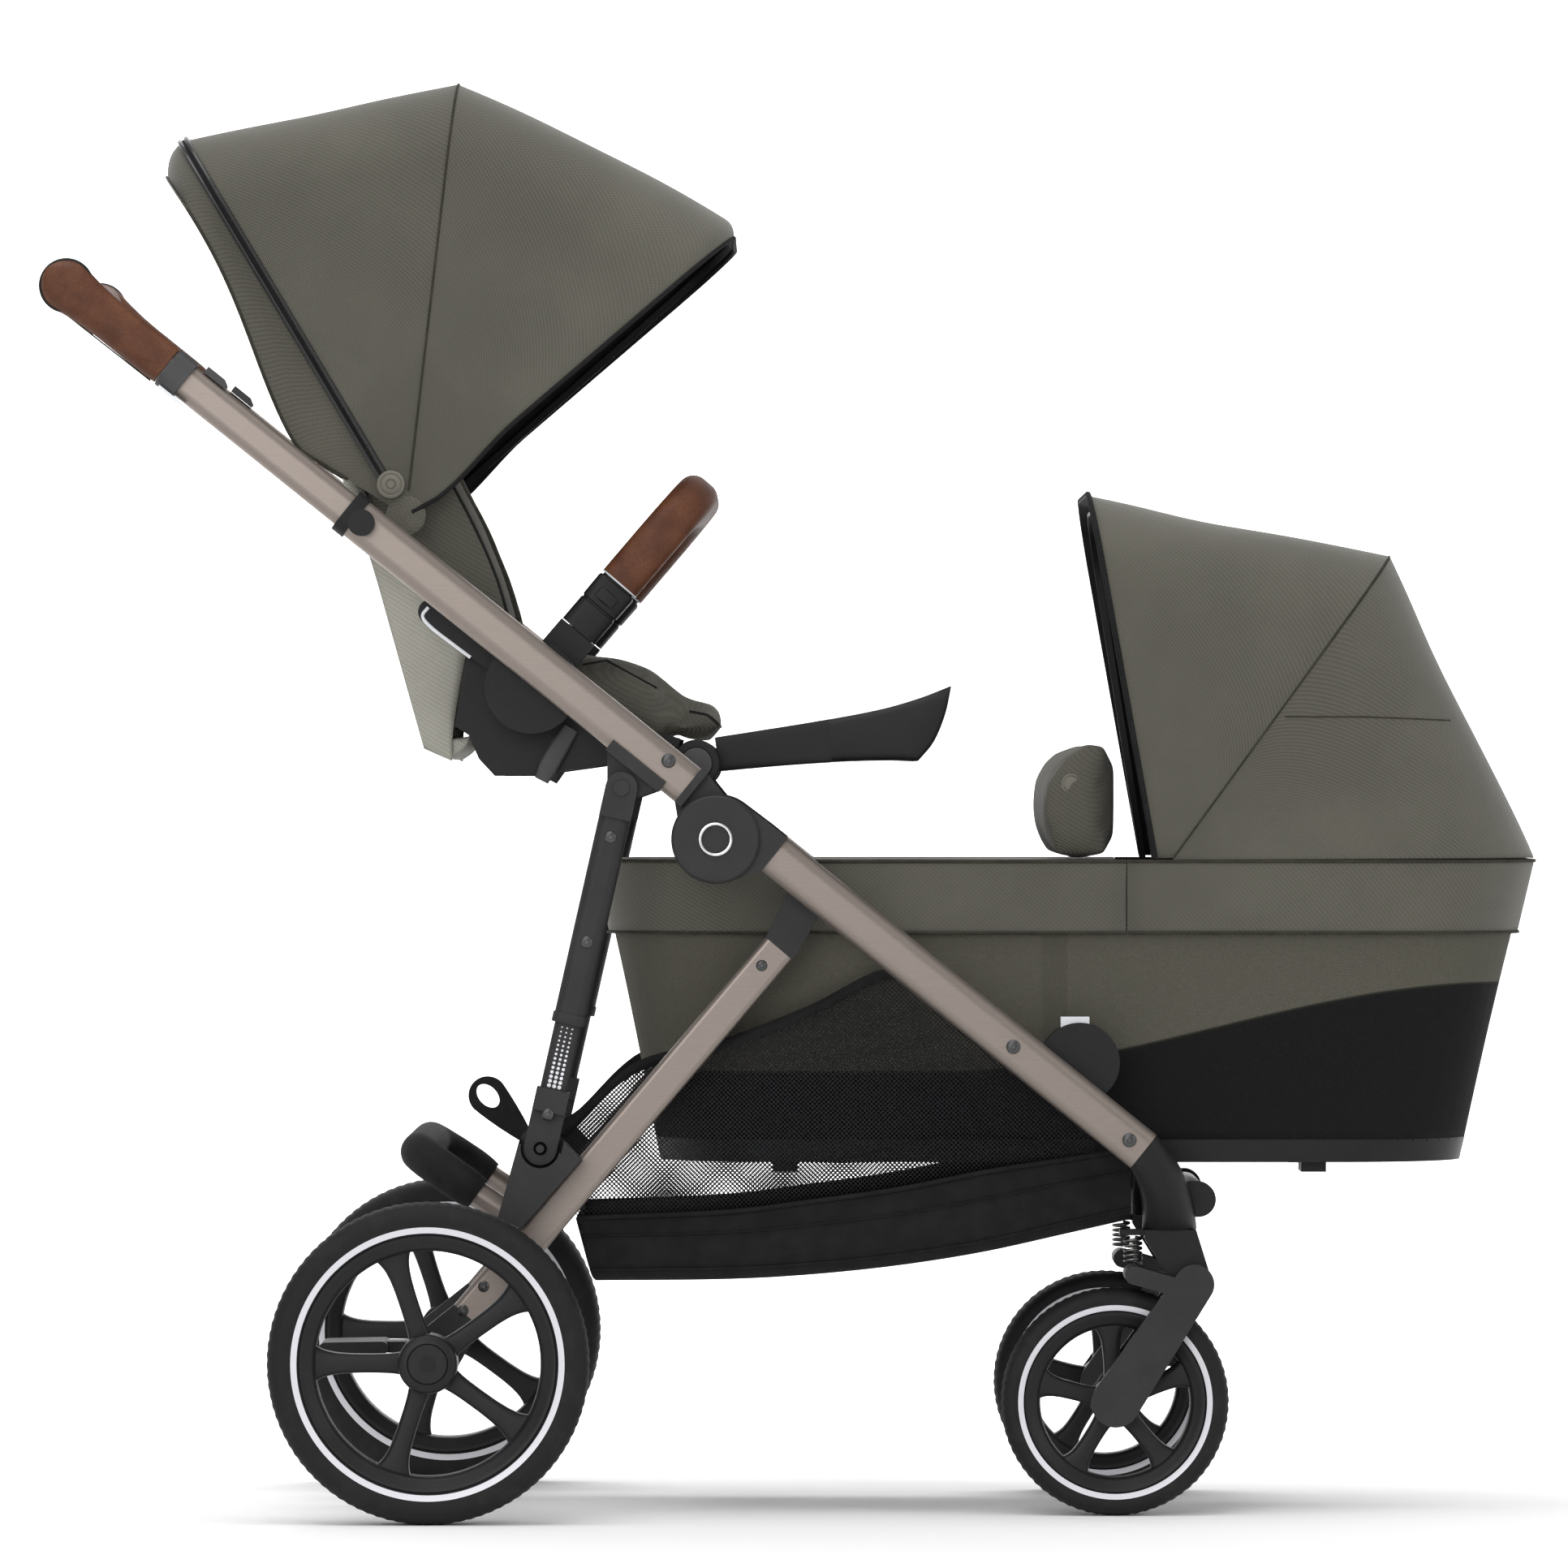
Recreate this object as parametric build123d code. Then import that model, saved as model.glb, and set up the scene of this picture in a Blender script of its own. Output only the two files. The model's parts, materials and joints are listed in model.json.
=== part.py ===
from build123d import *
import math
import os

# Baby stroller: a folding wheeled frame that carries a seat unit over a carrycot and a basket.
# Millimetres and degrees. +X is forward, +Y is the stroller's left, +Z is up, and the floor is
# at Z = 0. The stroller is the same on both sides of the XZ plane, so pieces at the side are
# made on the right, at a distance sideways that is counted outwards, and mirrored.

# ---------------------------------------------------------------- driving dimensions
# Frame line: the side tubes lie on one straight line that falls towards the front.
TUBE_FALL = 38.8             # fall of the frame line below the horizontal
HUB = (-68.6, 594.8)         # fold pivot, X and Z
HUB_DROP = 21.5              # fold pivot below the frame line
HUB_R = 39.0                 # round fold hub
HUB_REACH = 48.5             # from the fold pivot to each tube's end, along the frame line
FRAME_Y = 235.0              # middle of the side tubes
TUBE_HIGH = 37.0
TUBE_WIDE = 26.0
TUBE_ROUND = 11.0
TUBE_WALL = 2.0
LOWER_END = 462.0            # end of the front tube, along the frame line
UPPER_END = 428.0            # end of the upper tube, the other way
TONGUE = 12.0                # thickness of each hinge tongue
CHEEK = 8.7                  # thickness of each hinge cheek

# Handle
HANDLE_REACH = 745.0         # crossbar, along the frame line
COLLAR_AT = 612.0
COLLAR_LONG = 19.5
INNER_HIGH = 31.8            # telescoping inner tube
INNER_WIDE = 20.8
INNER_TAIL = 115.0           # length of inner tube inside the upper tube
GRIP_HIGH = 36.0
GRIP_WIDE = 33.0
BAR_R = 22.5                 # crossbar with its cover
STUD_R = 11.7                # accessory stud on the clamp
STUD_LONG = 9.0

# Rear frame and struts
LEG_PIVOT_AT = 93.4          # rear-leg pivot, along the frame line
LEG_PIVOT_RISE = -3.9
LEG_HIGH = 30.0
LEG_WIDE = 24.0
LEG_ROUND = 5.0
LEG_GAP = 5.0                # between a leg and the side tube
LEG_TOP = (-13.6, 499.0)
LEG_STOP = 48.9              # leg tube ends this far from the axle
STRUT_TOP_AT = -92.2         # strut's top pin, along the frame line
STRUT_TOP_DROP = 19.8        # strut's top pin, below the side tube
STRUT_LONG = 322.8           # between the strut's two pins
STRUT_TILT = 12.7            # lean of the strut from the vertical
STRUT_WIDE = 28.0
STRUT_DEEP = 24.0
STRUT_EYE_R = 14.5
STRUT_PIN_R = 3.5

# Wheels
REAR_WHEEL_R = 140.0
REAR_WHEEL_X = -318.0
REAR_TYRE_WIDE = 50.0
REAR_TYRE_DEEP = 28.0
REAR_WHEEL_OUT = 60.0        # rear wheel's middle, outside the side tube's
FRONT_WHEEL_R = 100.0
FRONT_WHEEL_X = 282.0
FRONT_TYRE_WIDE = 40.0
FRONT_TYRE_DEEP = 17.0
FRONT_WHEEL_INSET = 64.0     # front wheel's middle, inside the side tube's
SWIVEL_X = 330.0
SWIVEL_Z = 251.4
ARM_PIVOT = (351.0, 204.0)
AXLE_R = 6.0
BEAM_R = 12.0

# Seat unit
SEAT_HALF = 187.0
RECLINE = (-285.0, 690.0)    # recline pivot
ADAPTER = (-230.0, 728.0)
ADAPTER_R = 41.0
FOOT_PIVOT = (-86.0, 661.0)
BUMPER_FOOT = (-190.0, 777.0)
BUMPER_RISE = 49.5           # slope of the bumper bar
BUMPER_LONG = 175.0
BUMPER_R = 18.5
CANOPY = (-341.0, 879.0)     # canopy pivot
CANOPY_HALF = 190.0
CANOPY_WALL = 4.0
CANOPY_ROUND = 70.0

# Carrycot
COT_LOW = 310.0              # underside
COT_TOP = 572.0              # rim
COT_HALF_TOP = 184.0
COT_HALF_LOW = 165.0
COT_FOOT_TOP = -173.0        # foot end, X at the rim
COT_FOOT_LOW = -119.0
COT_HEAD_TOP = 653.0         # head end
COT_HEAD_LOW = 592.0
COT_WALL = 6.0
COT_BASE = 20.0
SKIRT = 4.0                  # fabric skirt outside the cot's wall
SKIRT_LOW = 511.0
HOOD_EDGE = 292.0            # where the apron ends and the hood starts
HOOD = (320.0, 560.0)        # hood bow pivot
COT_ADAPTER = (250.0, 399.0)
COT_ADAPTER_R = 35.0

# Basket
BASKET_HALF = 189.0
BASKET_WALL = 3.0

# Clearances
RUN = 0.05                   # shaft in its hole
SLIP = 0.3                   # sliding and turning neighbours
SOFT = 0.5                   # cloth beside what moves
OPEN_PIN = 2.5               # the strut's lower pin in its eye

# ---------------------------------------------------------------- derived places
FALL = math.radians(TUBE_FALL)
FOOT = (HUB[0] + HUB_DROP * math.sin(FALL), HUB[1] + HUB_DROP * math.cos(FALL))
TUBE_IN = FRAME_Y - TUBE_WIDE / 2
TUBE_OUT = FRAME_Y + TUBE_WIDE / 2
LEG_OUT = TUBE_IN - LEG_GAP
LEG_Y = LEG_OUT - LEG_WIDE / 2
LEG_IN = LEG_OUT - LEG_WIDE
TONGUE_IN = FRAME_Y - TONGUE / 2
TONGUE_OUT = FRAME_Y + TONGUE / 2
CHEEK_IN = TONGUE_IN - SLIP - CHEEK
CHEEK_OUT = TONGUE_OUT + SLIP + CHEEK
REAR_AXLE = (REAR_WHEEL_X, REAR_WHEEL_R)
FRONT_AXLE = (FRONT_WHEEL_X, FRONT_WHEEL_R)
REAR_WHEEL_Y = FRAME_Y + REAR_WHEEL_OUT
FRONT_WHEEL_Y = FRAME_Y - FRONT_WHEEL_INSET


def on_line(s, rise=0.0):
    """Point at distance s down the frame line from the fold hub, and rise square to it."""
    return (
        FOOT[0] + s * math.cos(FALL) + rise * math.sin(FALL),
        FOOT[1] - s * math.sin(FALL) + rise * math.cos(FALL),
    )


def polar(centre, radius, angle):
    """Point at a radius and an angle above +X, about a centre."""
    a = math.radians(angle)
    return (centre[0] + radius * math.cos(a), centre[1] + radius * math.sin(a))


def between(p, q, share):
    """Point at a share of the way from p to q."""
    return (p[0] + (q[0] - p[0]) * share, p[1] + (q[1] - p[1]) * share)


def toward(p, q, distance):
    """Point at a distance from p, on the way to q."""
    return between(p, q, distance / math.dist(p, q))


LEG_PIVOT = on_line(LEG_PIVOT_AT, LEG_PIVOT_RISE)
STRUT_TOP = on_line(STRUT_TOP_AT, -TUBE_HIGH / 2 - STRUT_TOP_DROP)
STRUT_FOOT = polar(STRUT_TOP, STRUT_LONG, -90.0 - STRUT_TILT)
LEG_END = toward(REAR_AXLE, LEG_TOP, LEG_STOP)


# ---------------------------------------------------------------- shapes used all over
def spot(point, sketch):
    """A sketch moved to a point of the XZ plane."""
    return Pos(point[0], point[1]) * sketch


def ring(radius, bore):
    return Circle(radius) - Circle(bore)


def outline(*points):
    return make_face(Polyline(*points, close=True))


def link(p, q, width):
    """A strip with round ends, centred on both points."""
    turn = math.degrees(math.atan2(q[1] - p[1], q[0] - p[0]))
    return spot(between(p, q, 0.5), Rot(0, 0, turn) * SlotCenterToCenter(math.dist(p, q), width))


def strip(p, q, width):
    """A strip with square ends at both points."""
    turn = math.degrees(math.atan2(q[1] - p[1], q[0] - p[0]))
    return spot(between(p, q, 0.5), Rot(0, 0, turn) * Rectangle(math.dist(p, q), width))


def hull(*sketches):
    """The tight outline round several sketches."""
    edges = ShapeList()
    for sketch in sketches:
        edges += sketch.edges()
    return make_hull(edges)


def slab(sketch, inner, outer):
    """A sketch of the XZ plane, thick from one distance sideways to another, on the right."""
    return extrude(Plane.XZ.offset(inner) * sketch, outer - inner)


def across(sketch, half):
    """A sketch of the XZ plane, thick to both sides of the middle."""
    return extrude(Plane.XZ * sketch, half, both=True)


def disc(point, radius, inner, outer, bore=0.0):
    sketch = ring(radius, bore) if bore else Circle(radius)
    return slab(spot(point, sketch), inner, outer)


def profile_tube(p, q, sideways, high, wide, corner, wall=0.0):
    """A straight tube of rounded section from p to q."""
    plane = Plane(origin=(p[0], -sideways, p[1]), x_dir=(0, 1, 0), z_dir=(q[0] - p[0], 0, q[1] - p[1]))
    length = math.dist(p, q)
    solid = extrude(plane * RectangleRounded(wide, high, corner), length)
    if wall:
        hollow = RectangleRounded(wide - 2 * wall, high - 2 * wall, corner - wall)
        solid -= extrude(plane * hollow, length)
    return solid


def frame_tube(start, end, high=TUBE_HIGH, wide=TUBE_WIDE, corner=TUBE_ROUND, wall=0.0):
    """A tube along the frame line between two distances from the fold hub."""
    return profile_tube(on_line(start), on_line(end), FRAME_Y, high, wide, corner, wall)


def hoop(start, end, half, bend, section):
    """A U-shaped bar: up from start to end on one side, across, and down on the other."""
    path = FilletPolyline(
        (start[0], -half, start[1]),
        (end[0], -half, end[1]),
        (end[0], half, end[1]),
        (start[0], half, start[1]),
        radius=bend,
    )
    return sweep(Plane(origin=path @ 0, z_dir=path % 0) * section, path=path)


def both(*solids):
    """The pieces of the right side with their mirror images."""
    return [*solids, *(mirror(solid, Plane.XZ) for solid in solids)]


def save(name, *shapes):
    """Write one node; several shapes stay separate solids."""
    solids = [solid for shape in shapes for solid in shape.solids()]
    whole = solids[0] if len(solids) == 1 else Compound(children=solids)
    whole.label = name
    export_step(whole, f"parts/{name}.step")


def save_sides(name, *shapes):
    """Write the right-hand node and its mirror image."""
    save(f"{name}_right", *shapes)
    save(f"{name}_left", *(mirror(shape, Plane.XZ) for shape in shapes))


# ---------------------------------------------------------------- front frame
def front_tubes():
    tube = frame_tube(HUB_REACH, LOWER_END, wall=TUBE_WALL)
    return both(tube)


def hub_spigot(start, end):
    """Solid end of a hub casting inside its tube."""
    inside = 2 * (TUBE_WALL + SLIP)
    corner = TUBE_ROUND - TUBE_WALL - SLIP
    return frame_tube(start, end, TUBE_HIGH - inside, TUBE_WIDE - inside, corner)


def fold_hubs():
    """Lower half of the fold hub: two cheeks joined by the block that holds the front tube."""
    block_at = HUB_REACH - 15.0
    mouth = strip(on_line(block_at), on_line(HUB_REACH), TUBE_HIGH)
    shape = hull(spot(HUB, Circle(HUB_R)), mouth) - spot(HUB, Circle(AXLE_R + RUN))
    casting = slab(shape, CHEEK_IN, TONGUE_IN - SLIP) + slab(shape, TONGUE_OUT + SLIP, CHEEK_OUT)
    casting += slab(mouth, CHEEK_IN, CHEEK_OUT)
    casting += hub_spigot(HUB_REACH, HUB_REACH + 26.0)
    return both(casting)


def hub_caps():
    """Round covers over the fold hubs, with a plain raised ring."""
    cap = disc(HUB, HUB_R - 1.0, CHEEK_OUT, CHEEK_OUT + 6.0)
    cap = chamfer(cap.faces().sort_by(Axis.Y)[0].edges(), 1.5)
    cap += disc(HUB, 15.0, CHEEK_OUT + 6.0, CHEEK_OUT + 7.0, bore=12.0)
    return both(cap)


def frame_fasteners():
    """Fold pins, rear-leg pins and rivet heads of the front frame."""
    pins = [
        disc(HUB, AXLE_R, CHEEK_IN, CHEEK_OUT),
        disc(LEG_PIVOT, AXLE_R, LEG_IN, TUBE_IN),
    ]
    for s in (316.0, LOWER_END - 16.0):
        pins.append(disc(on_line(s), 6.0, TUBE_OUT, TUBE_OUT + 1.6))
    return both(*pins)


def front_castings():
    """Knee castings from the front tubes' ends in to the swivel axes."""
    swivel = (SWIVEL_X, -FRONT_WHEEL_Y, SWIVEL_Z + SLIP)
    end = on_line(LOWER_END)
    middle = (SWIVEL_X - 6.0, -(FRAME_Y + FRONT_WHEEL_Y) / 2 + 2.0, SWIVEL_Z + 36.0)
    sections = [
        Plane(origin=(end[0], -FRAME_Y, end[1]), x_dir=(0, 1, 0), z_dir=(math.cos(FALL), 0, -math.sin(FALL)))
        * RectangleRounded(TUBE_WIDE, TUBE_HIGH, TUBE_ROUND),
        Plane(origin=middle, x_dir=(0, 1, 0.45), z_dir=(0.35, 0.41, -0.9)) * RectangleRounded(40, 42, 17),
        Plane(origin=swivel, x_dir=(0, 1, 0), z_dir=(0, 0, -1)) * RectangleRounded(48, 48, 22),
    ]
    casting = loft(sections)
    horn = hull(spot(CROSS_TUBE, Circle(CROSS_R + 3.0)), spot((SWIVEL_X, CROSS_TUBE[1]), Circle(14.0)))
    casting += slab(horn, FRONT_WHEEL_Y - 14.0, FRONT_WHEEL_Y + 14.0)
    casting -= Pos(*swivel) * Cylinder(AXLE_R + RUN, 2 * STEM_LONG + 4.0)
    return both(casting)


CROSS_TUBE = (SWIVEL_X + 25.0, SWIVEL_Z + 26.6)
CROSS_R = 12.5
STEM_LONG = 26.0


def front_cross_tube():
    half = FRONT_WHEEL_Y - 14.0
    return across(spot(CROSS_TUBE, ring(CROSS_R, CROSS_R - 2.0)), half)


# ---------------------------------------------------------------- carrycot mounts
BUTTON_X = COT_ADAPTER[0] - 4.0
BUTTON_LONG = 25.0
BUTTON_WIDE = 16.0
BUTTON_TOP = COT_ADAPTER[1] + COT_ADAPTER_R + 5.0
BUTTON_TALL = 14.0
BUTTON_TRAVEL = 4.0


def cot_button(grow=0.0, drop=0.0):
    """A release button, or the pocket that it slides in."""
    middle = (COT_HALF_TOP + TUBE_IN) / 2 + 2.0
    size = (BUTTON_LONG + 2 * grow, BUTTON_WIDE + 2 * grow, BUTTON_TALL + drop)
    return Pos(BUTTON_X, -middle, BUTTON_TOP - (BUTTON_TALL + drop) / 2) * Box(*size)


def cot_adapters():
    """Round mounts between the front tubes and the carrycot, with a spigot into its wall."""
    face = COT_HALF_TOP + SKIRT + 2.0
    mount = disc(COT_ADAPTER, COT_ADAPTER_R, face, TUBE_IN)
    mount += disc(COT_ADAPTER, 18.0, cot_half(COT_ADAPTER[1]) + 3.0, face)
    mount -= cot_button(grow=SLIP, drop=BUTTON_TRAVEL + 1.0)
    return both(mount)


# ---------------------------------------------------------------- carrycot
def cot_half(z):
    """Half width of the carrycot at a height."""
    share = (z - COT_LOW) / (COT_TOP - COT_LOW)
    return COT_HALF_LOW + (COT_HALF_TOP - COT_HALF_LOW) * share


def cot_section(z, grow):
    """Rounded plan of the carrycot at a height, grown all round."""
    share = (z - COT_LOW) / (COT_TOP - COT_LOW)
    foot = COT_FOOT_LOW + (COT_FOOT_TOP - COT_FOOT_LOW) * share - grow
    head = COT_HEAD_LOW + (COT_HEAD_TOP - COT_HEAD_LOW) * share + grow
    plan = RectangleRounded(head - foot, 2 * (cot_half(z) + grow), 110.0 + grow)
    return Pos((head + foot) / 2, 0, z) * plan


def cot_block(low, high, grow):
    return loft([cot_section(low, grow), cot_section(high, grow)])


def x_range(low, high):
    """A box that keeps what lies between two X values."""
    return Pos((low + high) / 2, 0, 600) * Box(high - low, 900, 1400)


def cot_shell():
    floor = COT_LOW + COT_BASE
    return cot_block(floor, COT_TOP, 0.0) - cot_block(floor - 1.0, COT_TOP + 1.0, -COT_WALL)


def cot_base():
    """Hard floor with four feet."""
    floor = cot_block(COT_LOW, COT_LOW + COT_BASE, 0.0)
    for x in (-8.0, 458.0):
        for y in (-120.0, 120.0):
            floor += Pos(x, y, COT_LOW - 3.0) * Box(22.0, 60.0, 12.0)
    return floor


def cot_mattress():
    low = COT_LOW + COT_BASE
    return cot_block(low, low + 26.0, -COT_WALL - 6.0)


def cot_apron():
    """Cover over the foot half, with a skirt outside the wall."""
    cover = cot_block(SKIRT_LOW, COT_TOP + SKIRT + SLIP, SKIRT)
    cover -= cot_block(SKIRT_LOW - 1.0, COT_TOP + SLIP, SLIP)
    return cover & x_range(-400.0, HOOD_EDGE - SOFT)


def cot_flap():
    """Padded wind flap that stands on the apron in the hood's mouth."""
    z = COT_TOP + SKIRT + 2 * SLIP
    back = HOOD_EDGE - 14.0
    side = outline(
        (229, z), (216, z + 40), (219, z + 66), (236, z + 92), (258, z + 105), (back, z + 102), (back, z),
    )
    return across(side, COT_HALF_TOP - COT_WALL - 14.0)


# ---------------------------------------------------------------- folding covers
def hood_prism(centre, low, high, radii, half, corner):
    """A wedge about a pivot between two angles, with an arched rim and rounded upper edges."""
    start = polar(centre, radii[0], low)
    middle = polar(centre, radii[1], (low + high) / 2)
    end = polar(centre, radii[2], high)
    rim = ThreePointArc(start, middle, end)
    wedge = make_face([Line(centre, start), rim, Line(end, centre)])
    prism = across(wedge, half)
    edges = prism.edges().filter_by(lambda e: e.geom_type == GeomType.CIRCLE)
    edges = edges.filter_by(lambda e: abs(abs(e.center().Y) - half) < 1.0)
    return fillet(edges, corner)


def hood_panel(centre, low, high, radii, half, wall, corner, boss):
    """One cloth panel of a folding cover, hollow inside, clear of its hub."""
    over = 0.4
    skin = hood_prism(centre, low, high, radii, half, corner)
    space = [r - wall for r in radii]
    skin -= hood_prism(centre, low - over, high + over, space, half - wall, corner - wall)
    return skin - across(spot(centre, Circle(boss)), half + 1.0)


def hood_bow(centre, angle, radius, leg, corner, thick=6.0, deep=3.0):
    """A thin U-shaped bow in the plane of its pivot, with an eye at each end."""
    tangent = polar((0, 0), 1.0, angle + 90.0)
    radial = polar((0, 0), 1.0, angle)
    plane = Plane(origin=(centre[0], 0, centre[1]), x_dir=(0, 1, 0), z_dir=(tangent[0], 0, tangent[1]))
    side = 1.0 if plane.y_dir.dot(Vector(radial[0], 0, radial[1])) > 0 else -1.0
    loop = RectangleRounded(2 * leg, radius, corner)
    loop -= RectangleRounded(2 * (leg - deep), radius - 2 * deep, corner - deep)
    face = Pos(0, side * radius / 2) * loop
    face -= Pos(0, -side * corner / 2) * Rectangle(4 * leg, 3 * corner)
    bow = extrude(plane * face, thick / 2, both=True)
    arm = strip(centre, polar(centre, corner + 2.0, angle), 6.0) + spot(centre, Circle(9.0))
    arm -= spot(centre, Circle(4.0 + RUN))
    return bow + slab(arm, leg - deep, leg) + mirror(slab(arm, leg - deep, leg), Plane.XZ)


# Canopy: angles of its bows above +X, and the radius of the cloth at and between them.
BOW_FRONT = 40.6
BOW_MID = 83.4
BOW_REAR = 120.9
REAR_EDGE = 125.4
RADII_FRONT = (390.0, 366.5, 385.0)
RADII_MID = (385.0, 366.0, 387.0)
RADII_REAR = (400.0, 392.0, 378.0)
BOW_GAP = 0.15
CANOPY_BOSS = 26.0
BOW_INSET = 9.0
LEG_FRONT_BOW = CANOPY_HALF - CANOPY_WALL - SOFT
LEG_MID_BOW = LEG_FRONT_BOW - 3.0 - SLIP


def canopy_panel(low, high, radii):
    return hood_panel(CANOPY, low, high, radii, CANOPY_HALF, CANOPY_WALL, CANOPY_ROUND, CANOPY_BOSS)


def canopy_rear():
    """Rear strip of the canopy and the cloth wall that closes its back."""
    keep = outline(CANOPY, polar(CANOPY, 600.0, BOW_REAR + BOW_GAP), polar(CANOPY, 600.0, REAR_EDGE))
    strip_panel = canopy_panel(BOW_MID, REAR_EDGE, RADII_REAR) & across(keep, CANOPY_HALF + 1.0)
    top = polar(CANOPY, RADII_REAR[2] - CANOPY_ROUND / 2, REAR_EDGE - 0.5)
    low = polar(CANOPY, 185.0, REAR_EDGE - 0.5)
    wall = across(strip(low, top, CANOPY_WALL), CANOPY_HALF - CANOPY_WALL)
    return strip_panel + wall


# Carrycot hood: the front panel turns with the bow and the rear one stays.
HOOD_FRONT = 100.4
HOOD_SEAM = 54.0
HOOD_RADII = (351.0, 318.0, 344.0)
HOOD_HALF = COT_HALF_TOP + SKIRT
HOOD_BOSS = 30.0
HOOD_BACK = (557.0, 776.0)   # where the hood's top turns down towards the head end
HOOD_BULGE = (592.0, 700.0)
HOOD_BOW_LEG = COT_HALF_TOP - COT_WALL - 3.0


def above_rim():
    low = COT_TOP + SKIRT + 2 * SLIP
    return Pos(0, 0, low + 400.0) * Box(2000, 900, 800)


def cot_hood_front():
    """Front panel of the hood, which folds back with its bow."""
    panel = hood_panel(
        HOOD, HOOD_SEAM + BOW_GAP, HOOD_FRONT, HOOD_RADII, HOOD_HALF, CANOPY_WALL, CANOPY_ROUND, HOOD_BOSS,
    )
    return panel & above_rim()


def cot_hood_rear():
    """Fixed rear of the hood, with its skirt outside the cot's wall."""
    rim = COT_TOP + SKIRT + 2 * SLIP
    head = COT_HEAD_TOP + SKIRT
    top = polar(HOOD, HOOD_RADII[0], HOOD_SEAM - BOW_GAP)
    foot = (HOOD[0] + (rim - HOOD[1]) / math.tan(math.radians(HOOD_SEAM)), rim)
    side = [
        Line(foot, (head, rim)),
        ThreePointArc((head, rim), HOOD_BULGE, HOOD_BACK),
        Line(HOOD_BACK, top),
        Line(top, foot),
    ]
    body = across(make_face(side), HOOD_HALF)
    edges = body.edges().filter_by(lambda e: abs(abs(e.center().Y) - HOOD_HALF) < 1.0)
    rear = edges.filter_by(lambda e: e.center().X > top[0] + 5.0)
    rear = rear.filter_by(lambda e: e.center().Z > rim + 5.0)
    body = fillet(rear, 55.0)
    inside = across(offset(make_face(side), -CANOPY_WALL), HOOD_HALF - CANOPY_WALL)
    inner_edges = inside.edges().filter_by(lambda e: abs(abs(e.center().Y) - HOOD_HALF + CANOPY_WALL) < 1.0)
    inner_rear = inner_edges.filter_by(lambda e: e.center().X > top[0] + 5.0)
    inner_rear = inner_rear.filter_by(lambda e: e.center().Z > rim + 15.0)
    inside = fillet(inner_rear, 50.0)
    body -= inside
    mouth = outline(
        (foot[0] - 12.0, rim - 5.0),
        (head - 14.0, rim - 5.0),
        (head - 14.0, rim + 6.0),
        (foot[0] + 40.0, rim + 6.0),
        (top[0] - 2.0, top[1] - 12.0),
        (top[0] - 22.0, top[1] - 20.0),
    )
    body -= across(mouth, HOOD_HALF - CANOPY_WALL)
    skirt = cot_block(SKIRT_LOW, rim + 1.0, SKIRT) - cot_block(SKIRT_LOW - 1.0, rim + 2.0, SLIP)
    skirt = skirt & x_range(HOOD_EDGE + SOFT, 900.0)
    return body, skirt


# ---------------------------------------------------------------- basket
def basket_floor_curve():
    return [(-175, 206), (-64, 207), (12, 211), (90, 219), (166, 231), (243, 248), (296, 260)]


def basket_mesh_curve():
    return [(-190, 262), (-64, 267), (12, 276), (90, 287), (166, 302), (296, 322)]


BASKET_UNDER_TUBE = 6.0      # between the basket's side and the front tube's line


def basket_top_curve():
    """Upper edge of the basket's side, up to where it goes behind the front tube."""
    return [(-232, 330), (-199, 344), (-141, 398), (-64, 419), (12, 448)]


def basket_tray():
    """Cloth tray: sloping floor, low walls at both sides, a front and a rear wall."""
    floor = basket_floor_curve()
    sides = outline(*floor, *reversed(basket_mesh_curve()))
    body = across(sides, BASKET_HALF)
    inside = outline(
        *[(x, z + BASKET_WALL) for x, z in floor[1:-1]],
        (floor[-1][0] - BASKET_WALL, floor[-1][1] + BASKET_WALL),
        (floor[-1][0] - BASKET_WALL, 340),
        (-196, 340),
        (-196, 296),
        (floor[0][0] + BASKET_WALL - 1.0, floor[0][1] + BASKET_WALL),
    )
    front_lip = Pos(293, 0, 320) * Box(30, 2 * BASKET_HALF - 2 * BASKET_WALL, 60)
    return body - across(inside, BASKET_HALF - BASKET_WALL) - front_lip


def basket_mesh():
    """Mesh sides above the tray, and the pull tab at the right rear corner."""
    low = [(x, z + SLIP) for x, z in basket_mesh_curve()[:-1]]
    low.append((250, 315 + SLIP))
    under = -TUBE_HIGH / 2 - BASKET_UNDER_TUBE
    side = outline(*low, on_line(425.0, under), on_line(192.0, under), *reversed(basket_top_curve()))
    panel = slab(side, BASKET_HALF - BASKET_WALL, BASKET_HALF)
    tab = link((-240, 338), (-271, 370), 30.0) - spot((-271, 370), Circle(10.6))
    tab_out = BASKET_HALF - BASKET_WALL - SLIP
    return [*both(panel), slab(tab, tab_out - BASKET_WALL, tab_out)]


# ---------------------------------------------------------------- upper frame
def upper_tubes():
    return both(frame_tube(-HUB_REACH, -UPPER_END, wall=TUBE_WALL))


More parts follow.
